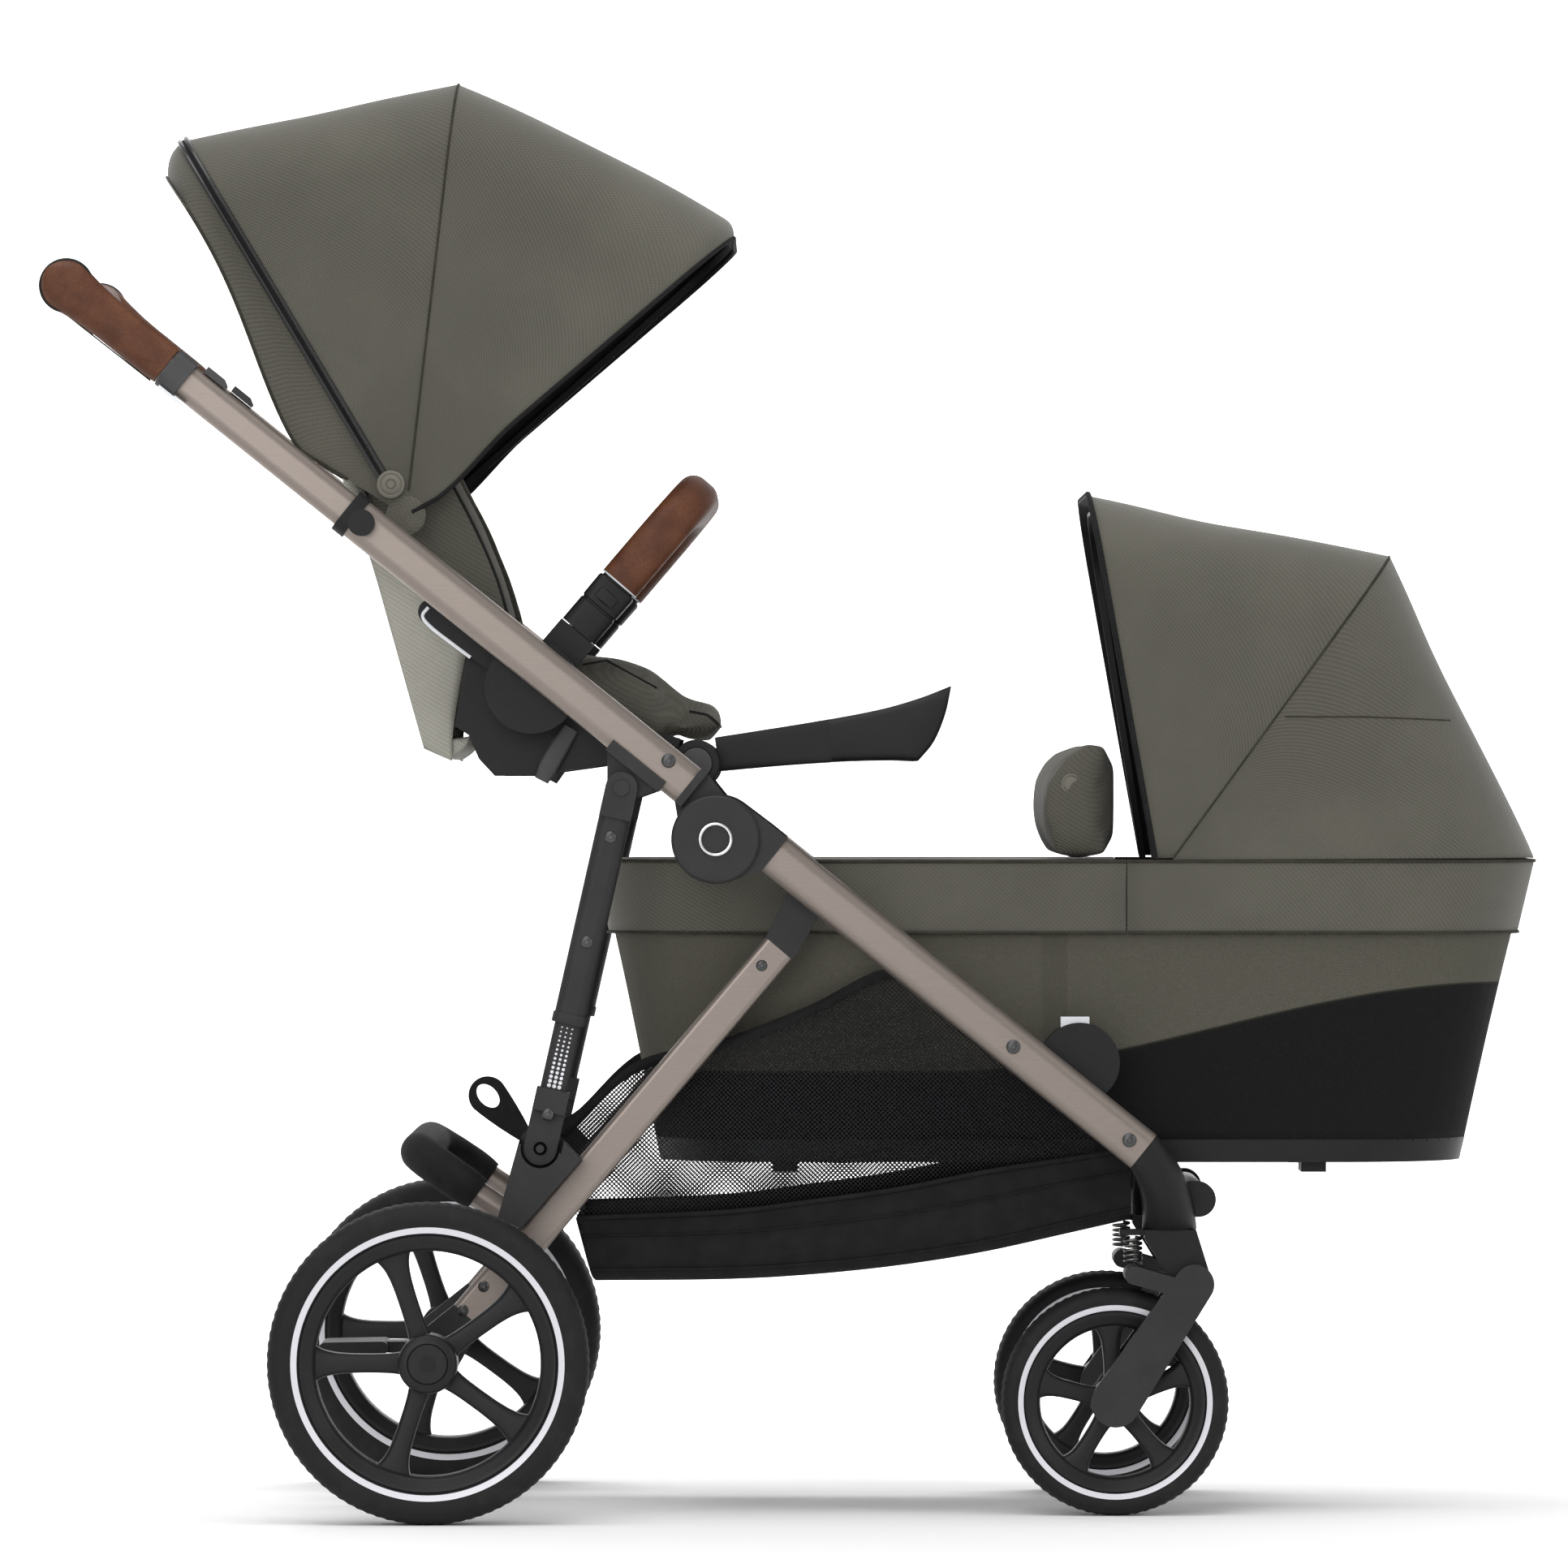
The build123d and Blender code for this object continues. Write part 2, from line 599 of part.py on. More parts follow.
def upper_hinges():
    """Upper half of the fold hub, and the saddles that carry the struts."""
    mouth = strip(on_line(-HUB_REACH), on_line(-HUB_REACH + 7.0), TUBE_HIGH)
    shape = hull(spot(HUB, Circle(HUB_R - 9.0)), mouth) - spot(HUB, Circle(AXLE_R + RUN))
    casting = slab(shape, TONGUE_IN, TONGUE_OUT) + slab(mouth, CHEEK_IN, CHEEK_OUT)
    casting += hub_spigot(-HUB_REACH, -HUB_REACH - 26.0)
    low = -TUBE_HIGH / 2
    web = hull(spot(STRUT_TOP, Circle(12.5)), strip(on_line(-122.0, low), on_line(-67.0, low), 5.0))
    saddle = slab(web, TONGUE_IN, TONGUE_OUT)
    saddle += slab(strip(on_line(-124.0, low + 3.0), on_line(-65.0, low + 3.0), 11.0), CHEEK_IN, CHEEK_OUT)
    saddle -= frame_tube(-140.0, -50.0)
    saddle -= disc(STRUT_TOP, 5.0 + RUN, TONGUE_IN - 1.0, TONGUE_OUT + 1.0)
    rivet = disc(on_line(-75.0, 6.0), 6.0, TUBE_OUT, TUBE_OUT + 1.6)
    return both(casting, saddle, rivet)


def tube_clamps():
    """Bands at the mouths of the upper tubes, each with a round accessory stud."""
    start = -UPPER_END - 4.0
    band = frame_tube(start, start + 12.0, TUBE_HIGH + 4.0, TUBE_WIDE + 4.0, TUBE_ROUND + 2.0)
    band -= frame_tube(start - 1.0, start + 13.0)
    stud = on_line(-UPPER_END + 14.0)
    band += slab(link(on_line(start + 6.0), stud, 12.0), TUBE_OUT, TUBE_OUT + 2.0)
    band += disc(stud, STUD_R, TUBE_OUT + 2.0, TUBE_OUT + 2.0 + STUD_LONG)
    return both(band)


# ---------------------------------------------------------------- handle
def handle_tube():
    """Two telescoping tubes joined by a crossbar."""
    inner = -UPPER_END + INNER_TAIL
    leg = frame_tube(inner, -HANDLE_REACH, INNER_HIGH, INNER_WIDE, 9.5)
    leg -= frame_tube(inner, -HANDLE_REACH + BAR_R, INNER_HIGH - 4.0, INNER_WIDE - 4.0, 7.5)
    core = across(spot(on_line(-HANDLE_REACH), Circle(BAR_R - 6.0)), FRAME_Y + 10.0)
    return leg + mirror(leg, Plane.XZ) + core


def handle_grip():
    """Covered crossbar and the grips that run down to the collars."""
    start = -COLLAR_AT - COLLAR_LONG
    leg = frame_tube(start, -HANDLE_REACH, GRIP_HIGH, GRIP_WIDE, 14.0)
    bar = across(spot(on_line(-HANDLE_REACH), Circle(BAR_R)), FRAME_Y + GRIP_WIDE / 2 + 2.0)
    bar = fillet(bar.edges().filter_by(GeomType.CIRCLE), 4.0)
    return leg + mirror(leg, Plane.XZ) + bar - handle_tube_solid


def handle_collars():
    start = -COLLAR_AT - COLLAR_LONG
    collar = frame_tube(start, -COLLAR_AT, GRIP_HIGH + 2.0, GRIP_WIDE + 1.0, 14.0)
    return both(collar - frame_tube(start, -COLLAR_AT, INNER_HIGH, INNER_WIDE, 9.5))


SLIDER_LONG = 24.0
SLIDER_TRAVEL = 6.0


def fold_sliders():
    """Fold releases that slide up the handle tubes towards the collars."""
    top = INNER_HIGH / 2 + SLIP
    start = -COLLAR_AT + SLIDER_TRAVEL + 2.0
    side = outline(
        on_line(start, top),
        on_line(start + SLIDER_LONG, top),
        on_line(start + SLIDER_LONG, top + 3.0),
        on_line(start + SLIDER_LONG - 6.0, top + 6.5),
        on_line(start, top + 6.5),
    )
    return both(slab(side, FRAME_Y - 6.0, FRAME_Y + 6.0))


# ---------------------------------------------------------------- seat unit
CANOPY_ARM_END = (-319.0, 794.0)


def seat_adapters():
    """Round mounts on the upper tubes that hold the seat unit's sides."""
    face = SEAT_HALF + 5.0
    mount = disc(ADAPTER, ADAPTER_R, face, TUBE_IN)
    mount += disc(ADAPTER, 20.0, SEAT_HALF, face)
    mount += slab(link(ADAPTER, CANOPY_ARM_END, 22.0), face, face + 8.0)
    return both(mount)


REAR_RAIL = (-262.0, 668.0)
FRONT_RAIL = (-125.0, 668.0)
RAIL_R = 9.0


def seat_frame():
    """Side plates, cross rails, seat pan and the sockets of the bumper bar."""
    plate_in = SEAT_HALF - 16.0
    plate = outline(
        (-288, 758), (-298, 694), (-286, 686), (-277, 665), (-263, 650), (-234, 650),
        (-156, 661), (-108, 650), (-100, 683), (-200, 712), (-215, 748),
    )
    neck = link((-130, 668), FOOT_PIVOT, 22.0)
    socket = strip(toward(BUMPER_FOOT, bumper_point(-60.0), SLIP), bumper_point(-60.0), 2 * BUMPER_R)
    side = slab(plate, plate_in, SEAT_HALF) + slab(neck, plate_in, SEAT_HALF)
    side += slab(socket, SEAT_HALF - 2 * BUMPER_R, SEAT_HALF)
    side -= bumper_plug(RUN + 0.1, 26.0)
    side -= disc(FOOT_PIVOT, 6.0 + RUN, plate_in - 1.0, SEAT_HALF + 1.0)
    frame = side + mirror(side, Plane.XZ)
    for rail in (REAR_RAIL, FRONT_RAIL):
        frame += across(spot(rail, Circle(RAIL_R)), plate_in)
    pan = strip((REAR_RAIL[0], REAR_RAIL[1] + 12.0), (FRONT_RAIL[0], FRONT_RAIL[1] + 6.0), 5.0)
    return frame + across(pan, plate_in)


def seat_cushion():
    """Seat cushion with its calf pad."""
    side = outline(
        (-255, 685), (-232, 757), (-215, 758), (-183, 751), (-156, 749), (-128, 739), (-99, 714), (-106, 697),
        (-116, 685),
    )
    calf = outline((-95, 712), (-74, 709), (-57, 692), (-60, 685), (-100, 690))
    return across(side, SEAT_HALF - 2 * BUMPER_R - 1.0), across(calf, SEAT_HALF - 2 * BUMPER_R - 4.0)


def backrest_shell():
    """Reclining back board with its side lugs."""
    back = outline(
        (-324, 678), (-372, 840), (-470, 1122), (-458, 1126), (-360, 844), (-313, 684), (-285, 690),
        (-285, 676), (-300, 664),
    )
    return across(back, SEAT_HALF - 22.0)


def backrest_pad():
    """Padded back with raised sides."""
    wing = outline(
        (-310, 690), (-266, 700), (-240, 779), (-254, 826), (-272, 869), (-294, 911), (-330, 975),
        (-395, 1080), (-430, 1122), (-455, 1126), (-357, 845),
    )
    pad = across(wing, SEAT_HALF - 22.0)
    hollow = outline(
        (-262, 690), (-288, 770), (-300, 826), (-340, 940), (-402, 1100), (-370, 1150), (-200, 1150),
        (-200, 690),
    )
    return pad - across(hollow, 120.0)


def harness():
    """Shoulder straps down the back pad to a buckle."""
    strap = strip((-291, 826), (-391, 1092), 3.0)
    buckle = Pos(-272, 0, 783) * Box(14, 44, 52)
    side = slab(strip((-281, 781), (-291, 826), 3.0), 20.0, 55.0) + slab(strap, 35.0, 65.0)
    return [*both(side), buckle]


def bumper_point(s):
    return polar(BUMPER_FOOT, s, BUMPER_RISE)


def bumper_plug(grow, long):
    """The pin under the bumper bar's arm, or its hole."""
    return profile_tube(
        BUMPER_FOOT, bumper_point(-long), SEAT_HALF - BUMPER_R, 16.0 + 2 * grow, 16.0 + 2 * grow, 4.0
    )


def bumper_bar():
    """U-shaped bar that plugs into the seat frame's sides."""
    half = SEAT_HALF - BUMPER_R
    bar = hoop(BUMPER_FOOT, bumper_point(BUMPER_LONG - BUMPER_R), half, 60.0, Circle(BUMPER_R))
    plug = bumper_plug(0.0, 24.0)
    return bar + plug + mirror(plug, Plane.XZ)


def footrest():
    """Leg board that tilts down about its front pivot."""
    board = outline(
        (-66, 654), (15, 662), (72, 665), (107, 662), (138, 729), (108, 722), (80, 714), (15, 704), (-63, 687),
    )
    half = SEAT_HALF - 16.0 - SLIP
    solid = across(board, half)
    solid -= across(spot(FOOT_PIVOT, Circle(48.0)), half - 18.0)
    hub = disc(FOOT_PIVOT, 21.0, half - 18.0, half) + disc(FOOT_PIVOT, 6.0, half, SEAT_HALF + SLIP)
    hub += disc(FOOT_PIVOT, 21.0, SEAT_HALF + SLIP, SEAT_HALF + 6.0)
    return solid + hub + mirror(hub, Plane.XZ)


# ---------------------------------------------------------------- struts and rear frame
def strut_point(t):
    return toward(STRUT_TOP, STRUT_FOOT, t)


def strut_tubes():
    """Upper strut tubes, each with a forked cap on the saddle's pin."""
    fork = hull(spot(STRUT_TOP, Circle(14.0)), strip(strut_point(18.0), strut_point(27.0), STRUT_WIDE))
    slot = strip(strut_point(-25.0), strut_point(15.0), 2 * STRUT_WIDE)
    cap = slab(fork, CHEEK_IN + 1.0, CHEEK_OUT - 1.0) - slab(slot, TONGUE_IN - SLIP, TONGUE_OUT + SLIP)
    cap += disc(STRUT_TOP, 5.0, CHEEK_IN + 2.0, CHEEK_OUT - 2.0)
    cap += disc(STRUT_TOP, 7.0, CHEEK_OUT - 2.0, CHEEK_OUT + 1.0)
    shaft = profile_tube(strut_point(27.0), strut_point(209.0), FRAME_Y, STRUT_WIDE, STRUT_DEEP, 9.0, 2.0)
    return both(cap, shaft)


def strut_feet():
    """Lower strut tubes, which end in an eye over the rear leg's pin."""
    inside = STRUT_WIDE - 2 * (2.0 + RUN)
    shaft = profile_tube(strut_point(170.0), strut_point(270.0), FRAME_Y, inside, STRUT_DEEP - 4.1, 7.0)
    neck = strip(strut_point(270.0), strut_point(284.0), STRUT_WIDE + 1.0)
    foot = hull(neck, spot(STRUT_FOOT, Circle(STRUT_EYE_R)))
    foot -= spot(STRUT_FOOT, Circle(STRUT_PIN_R + OPEN_PIN))
    sleeve = strip(strut_point(270.0), strut_point(290.0), STRUT_WIDE + 1.0)
    eye = slab(foot, TONGUE_IN, TONGUE_OUT) + slab(sleeve, CHEEK_IN + 1.0, CHEEK_OUT - 1.0)
    return both(shaft + eye)


def leg_tube(wall=0.0):
    return profile_tube(LEG_TOP, LEG_END, LEG_Y, LEG_HIGH, LEG_WIDE, LEG_ROUND, wall)


def rear_legs():
    return both(leg_tube(wall=2.0))


def leg_brackets():
    """Plug at the leg's top, strut bracket and wheel casting of each rear leg."""
    mouth = strip(LEG_TOP, toward(LEG_TOP, LEG_END, -8.0), LEG_HIGH)
    plug = slab(hull(spot(LEG_PIVOT, Circle(17.0)), mouth), LEG_IN, LEG_OUT)
    plug -= disc(LEG_PIVOT, AXLE_R + RUN, LEG_IN - 1.0, LEG_OUT + 1.0)
    cup = hull(
        spot(STRUT_FOOT, Circle(19.5)),
        outline((-258.7, 265), (-239, 255), (-186, 315), (-204, 334)),
    )
    room = spot(STRUT_FOOT, Circle(STRUT_EYE_R + OPEN_PIN))
    room += strip(STRUT_FOOT, toward(STRUT_FOOT, STRUT_TOP, 60.0), 38.0)
    bracket = slab(cup - room, LEG_OUT, CHEEK_OUT) + slab(cup, LEG_OUT, CHEEK_IN)
    bracket += disc(STRUT_FOOT, STRUT_PIN_R, CHEEK_IN, CHEEK_OUT)
    end = hull(spot(REAR_AXLE, Circle(24.0)), strip(LEG_END, toward(LEG_END, LEG_TOP, -6.0), LEG_HIGH))
    boss_out = REAR_WHEEL_Y - REAR_TYRE_WIDE / 2 - 6.0
    casting = slab(end, LEG_IN, LEG_OUT) + disc(REAR_AXLE, 18.0, LEG_OUT, boss_out)
    casting -= disc(REAR_AXLE, AXLE_R, LEG_IN, REAR_WHEEL_Y)
    return both(plug, bracket, casting)


def rear_axle():
    """Beam between the legs and the stub axles of the wheels."""
    beam = across(spot(REAR_AXLE, Circle(BEAM_R)), LEG_IN)
    stub = disc(REAR_AXLE, AXLE_R, LEG_IN, REAR_WHEEL_Y + REAR_TYRE_WIDE / 2)
    return beam + stub + mirror(stub, Plane.XZ)


BOW_FOOT = (-240.0, 258.0)
BOW_END = (-330.0, 319.0)
BOW_TUBE_R = 11.8
BOW_PAD_R = 17.0


def rear_bow():
    """U-shaped bar behind the basket, joined to the rear legs."""
    bow = hoop(BOW_FOOT, BOW_END, LEG_Y, 50.0, Circle(BOW_TUBE_R))
    for piece in both(leg_tube()):
        bow -= piece
    return bow


def rear_bow_pad():
    start = between(BOW_FOOT, BOW_END, 0.42)
    pad = hoop(start, BOW_END, LEG_Y, 50.0, Circle(BOW_PAD_R))
    return pad - hoop(between(BOW_FOOT, BOW_END, 0.3), BOW_END, LEG_Y, 50.0, Circle(BOW_TUBE_R))


def brake_pedal():
    """Foot pedal that turns on the rear beam."""
    eye = spot(REAR_AXLE, ring(BEAM_R + 6.0, BEAM_R + SLIP))
    arm = strip((REAR_AXLE[0] - BEAM_R - 3.0, REAR_AXLE[1]), (REAR_AXLE[0] - 50.0, REAR_AXLE[1]), 10.0)
    plate = link((REAR_AXLE[0] - 50.0, REAR_AXLE[1]), (REAR_AXLE[0] - 100.0, REAR_AXLE[1] - 1.0), 12.0)
    return across(eye + arm, 22.0) + across(plate, 42.0)


# ---------------------------------------------------------------- wheels
def tyre(centre, sideways, radius, deep, wide, corner):
    """A tyre of rounded section about an axle across the stroller."""
    section = Plane.XY * Pos(radius - deep / 2, 0) * RectangleRounded(deep, wide, corner)
    solid = revolve(section, Axis.Y)
    return Pos(centre[0], -sideways, centre[1]) * solid


def rim(centre, sideways, outer, depth, wide, hub_r, hub_wide, turn, spoke):
    """A five-spoke wheel with a hub bored for its axle."""
    low, high = sideways - wide / 2, sideways + wide / 2
    solid = slab(spot(centre, ring(outer, outer - depth)), low, high)
    for k in range(5):
        angle = turn + 72.0 * k
        start, end = polar(centre, hub_r - 3.0, angle), polar(centre, outer - depth + 1.5, angle)
        solid += slab(strip(start, end, spoke), sideways - 9.0, sideways + 9.0)
    solid += disc(centre, hub_r, sideways - hub_wide / 2, sideways + hub_wide / 2)
    return solid - disc(centre, AXLE_R + RUN, sideways - wide, sideways + wide)


def rear_tyre():
    return tyre(REAR_AXLE, REAR_WHEEL_Y, REAR_WHEEL_R, REAR_TYRE_DEEP, REAR_TYRE_WIDE, 12.0)


def rear_rim():
    wide = REAR_TYRE_WIDE - 8.0
    outer = REAR_WHEEL_R - REAR_TYRE_DEEP
    return rim(REAR_AXLE, REAR_WHEEL_Y, outer, 14.4, wide, 26.0, REAR_TYRE_WIDE + 2.0, 180.0, 17.0)


def front_tyre():
    return tyre(FRONT_AXLE, FRONT_WHEEL_Y, FRONT_WHEEL_R, FRONT_TYRE_DEEP, FRONT_TYRE_WIDE, 8.0)


def front_rim():
    wide = FRONT_TYRE_WIDE - 6.0
    outer = FRONT_WHEEL_R - FRONT_TYRE_DEEP
    return rim(FRONT_AXLE, FRONT_WHEEL_Y, outer, 13.0, wide, 21.0, FRONT_TYRE_WIDE - 1.0, 166.0, 19.0)


# ---------------------------------------------------------------- casters
ARM_IN = FRONT_TYRE_WIDE / 2 + 1.0    # arm plates, from the wheel's middle
ARM_THICK = 10.0
SPRING_SEAT = (298.0, 212.0)
SPRING_R = 7.5
SPRING_LOW = SPRING_SEAT[1] + 8.0 + SLIP
SPRING_TOP = SWIVEL_Z - 5.5


def caster():
    """Swivel body with its stem, the arm's pivot boss and the spring's upper seat."""
    middle = FRONT_WHEEL_Y
    half = ARM_IN - 1.0
    head = strip((SWIVEL_X - 22.0, SWIVEL_Z - 4.0), (SWIVEL_X + 23.0, SWIVEL_Z - 4.0), 8.0)
    body = slab(hull(head, spot(ARM_PIVOT, Circle(16.0))), middle - half, middle + half)
    seat = strip((SPRING_SEAT[0] - 12.0, SWIVEL_Z - 2.5), (SWIVEL_X, SWIVEL_Z - 2.5), 5.0)
    body += slab(seat, middle - 12.0, middle + 12.0)
    body += Pos(SWIVEL_X, -middle, SWIVEL_Z + STEM_LONG / 2) * Cylinder(AXLE_R, STEM_LONG)
    return body - disc(ARM_PIVOT, AXLE_R + RUN, middle - half - 1.0, middle + half + 1.0)


def fork():
    """Suspension arm: two plates joined by the pivot pin, the spring's lower seat and the axle."""
    middle = FRONT_WHEEL_Y
    shape = hull(spot(ARM_PIVOT, Circle(17.5)), spot(FRONT_AXLE, Circle(21.5)))
    shape += link((340, 200), SPRING_SEAT, 16.0)
    arm = slab(shape, middle + ARM_IN, middle + ARM_IN + ARM_THICK)
    arm += slab(shape, middle - ARM_IN - ARM_THICK, middle - ARM_IN)
    for point, radius in ((ARM_PIVOT, AXLE_R), (FRONT_AXLE, AXLE_R), (SPRING_SEAT, 8.0)):
        arm += disc(point, radius, middle - ARM_IN - 1.0, middle + ARM_IN + 1.0)
    return arm


def caster_spring():
    x, z = SPRING_SEAT[0], SPRING_LOW
    long = SPRING_TOP - z - SLIP
    spring = Cylinder(SPRING_R, long) - Cylinder(SPRING_R - 2.5, 2 * long)
    return Pos(x, -FRONT_WHEEL_Y, z + long / 2) * spring


# ---------------------------------------------------------------- write the nodes
os.makedirs("parts", exist_ok=True)
handle_tube_solid = handle_tube()

save("front_tubes", *front_tubes())
save("fold_hubs", *fold_hubs())
save("hub_caps", *hub_caps())
save("frame_fasteners", *frame_fasteners())
save("front_castings", *front_castings())
save("front_cross_tube", front_cross_tube())
save("cot_adapters", *cot_adapters())
save("cot_buttons", *both(cot_button()))
save("cot_shell", cot_shell())
save("cot_base", cot_base())
save("cot_mattress", cot_mattress())
save("cot_apron", cot_apron())
save("cot_flap", cot_flap())
save("cot_hood_front", cot_hood_front())
save("cot_hood_bow", hood_bow(HOOD, HOOD_FRONT - 1.5, HOOD_RADII[2] - BOW_INSET - 3.0, HOOD_BOW_LEG, 62.0))
save("cot_hood_rear", *cot_hood_rear())
save("basket_tray", basket_tray())
save("basket_mesh", *basket_mesh())

save("upper_tubes", *upper_tubes())
save("upper_hinges", *upper_hinges())
save("tube_clamps", *tube_clamps())
save("handle_tube", handle_tube_solid)
save("handle_grip", handle_grip())
save("handle_collars", *handle_collars())
save("fold_sliders", *fold_sliders())

save("seat_adapters", *seat_adapters())
save("seat_frame", seat_frame())
save("seat_cushion", *seat_cushion())
save("backrest_shell", backrest_shell())
save("backrest_pad", backrest_pad())
save("harness", *harness())
save("bumper_bar", bumper_bar())
save("footrest", footrest())
save("canopy_rear", canopy_rear())
save("canopy_mid_panel", canopy_panel(BOW_MID + BOW_GAP, BOW_REAR - BOW_GAP, RADII_MID))
save("canopy_mid_bow", hood_bow(CANOPY, BOW_MID, RADII_MID[0] - BOW_INSET, LEG_MID_BOW, 66.0))
save("canopy_front_panel", canopy_panel(BOW_FRONT, BOW_MID - BOW_GAP, RADII_FRONT))
save("canopy_front_bow", hood_bow(CANOPY, BOW_FRONT + 1.0, RADII_FRONT[0] - BOW_INSET, LEG_FRONT_BOW, 66.0))

save("strut_tubes", *strut_tubes())
save("strut_feet", *strut_feet())
save("rear_legs", *rear_legs())
save("leg_brackets", *leg_brackets())
save("rear_axle", rear_axle())
save("rear_bow", rear_bow())
save("rear_bow_pad", rear_bow_pad())
save("brake_pedal", brake_pedal())
save_sides("rear_tyre", rear_tyre())
save_sides("rear_rim", rear_rim())
save_sides("caster", caster())
save_sides("fork", fork())
save_sides("caster_spring", caster_spring())
save_sides("front_tyre", front_tyre())
save_sides("front_rim", front_rim())
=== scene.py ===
# %% [markdown]
# # A folding tandem stroller
# This file dresses a stroller whose frame, joints and sizes are already fixed. The frame comes
# from the CAD model, and the cells below add what cloth, leather, rubber and moulded plastic
# look like. Each piece is a surface worked out with a formula, in millimetres. Most ride on the
# body that carries them on the real stroller; the canopy's front and middle cloth and the hood's
# front cloth are set in place and ride no body.

# %% load the frame
import json
import math

import bmesh
import bpy
import numpy as np
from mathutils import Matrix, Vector
from mathutils.bvhtree import BVHTree


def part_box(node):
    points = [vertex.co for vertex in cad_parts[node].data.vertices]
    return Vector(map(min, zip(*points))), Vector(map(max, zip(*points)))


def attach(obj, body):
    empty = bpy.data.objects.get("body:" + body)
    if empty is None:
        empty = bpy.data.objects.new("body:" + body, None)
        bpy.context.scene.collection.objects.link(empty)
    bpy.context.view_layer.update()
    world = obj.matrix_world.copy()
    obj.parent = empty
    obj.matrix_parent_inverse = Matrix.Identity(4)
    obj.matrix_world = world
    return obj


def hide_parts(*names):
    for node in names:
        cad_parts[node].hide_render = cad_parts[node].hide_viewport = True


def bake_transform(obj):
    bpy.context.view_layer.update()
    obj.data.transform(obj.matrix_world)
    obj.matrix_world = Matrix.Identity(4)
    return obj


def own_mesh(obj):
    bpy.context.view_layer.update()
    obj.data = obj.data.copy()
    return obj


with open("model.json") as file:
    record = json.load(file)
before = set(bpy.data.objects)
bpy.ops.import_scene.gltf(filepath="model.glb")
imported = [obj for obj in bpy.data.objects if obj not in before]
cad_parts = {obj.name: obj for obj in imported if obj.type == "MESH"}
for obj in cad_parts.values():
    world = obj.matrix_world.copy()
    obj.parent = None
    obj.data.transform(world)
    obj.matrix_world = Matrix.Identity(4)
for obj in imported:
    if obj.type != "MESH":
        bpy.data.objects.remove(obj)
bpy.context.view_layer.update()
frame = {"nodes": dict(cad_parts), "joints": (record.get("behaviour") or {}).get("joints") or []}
MM = 0.001
RIGHT, LEFT = -1.0, 1.0
SIDES = (("right", RIGHT), ("left", LEFT))

# %% [markdown]
# ## Places from the frame
# A pivot's place is the place of its joint, and a width is that of a node's box. So a cover
# fits its bows and a grip fits its tube without a number being typed twice. The side tubes lie
# on one straight line that falls towards the front, and `on_line` measures along it.

# %% places and lines
PIVOT = {j["name"]: np.array(j["pos_m"]) / MM for j in frame["joints"] if "pos_m" in j}


def low(node):
    return np.array(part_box(node)[0]) / MM


def high(node):
    return np.array(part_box(node)[1]) / MM


def flat(point):
    """The X and Z of a place."""
    return np.array([point[0], point[2]])


FALL = math.radians(38.8)
DOWN_LINE = np.array([math.cos(FALL), -math.sin(FALL)])
OFF_LINE = np.array([math.sin(FALL), math.cos(FALL)])
LINE_FOOT = flat(PIVOT["frame_fold"]) + 21.5 * OFF_LINE
FRAME_Y = (high("upper_tubes")[1] + high("upper_tubes")[1] - 26.0) / 2


def on_line(s, rise=0.0):
    """Point foot + s * down + rise * off, in X and Z, of the side tubes' line."""
    return LINE_FOOT + s * DOWN_LINE + rise * OFF_LINE


def turned(angle):
    """Unit vector (cos a, sin a) of an angle in degrees above +X."""
    return np.array([math.cos(math.radians(angle)), math.sin(math.radians(angle))])


print("side tubes at", round(FRAME_Y, 1), "mm; fold pivot", PIVOT["frame_fold"].round(1))

# %% [markdown]
# ## Shader values as formulas
# A weave or a grain is arithmetic on a place. `Field` wraps one socket so that `a * 2 + b`
# adds the Math nodes by itself, and `Paint` makes the other nodes of one finish.


# %% shader arithmetic
class Field:
    """A number that changes over a surface, written as a formula."""

    def __init__(self, paint, socket):
        self.paint, self.socket = paint, socket

    def math(self, operation, *others):
        node = self.paint.tree.nodes.new("ShaderNodeMath")
        node.operation = operation
        for slot, value in zip(node.inputs, (self, *others)):
            self.paint.put(slot, value)
        return Field(self.paint, node.outputs[0])

    def __add__(self, other):
        return self.math("ADD", other)

    def __mul__(self, other):
        return self.math("MULTIPLY", other)

    def __sub__(self, other):
        return self.math("SUBTRACT", other)

    def __rsub__(self, other):
        return (self * -1.0) + other

    __radd__ = __add__
    __rmul__ = __mul__

    def sin(self):
        return self.math("SINE")

    def cos(self):
        return self.math("COSINE")

    def size(self):
        return self.math("ABSOLUTE")

    def step(self, low_end, high_end):
        """Smooth step: 0 below low_end, 1 above high_end."""
        node = self.paint.node("ShaderNodeMapRange", {"interpolation_type": "SMOOTHSTEP"}, {
            "Value": self, "From Min": low_end, "From Max": high_end})
        return Field(self.paint, node.outputs[0])


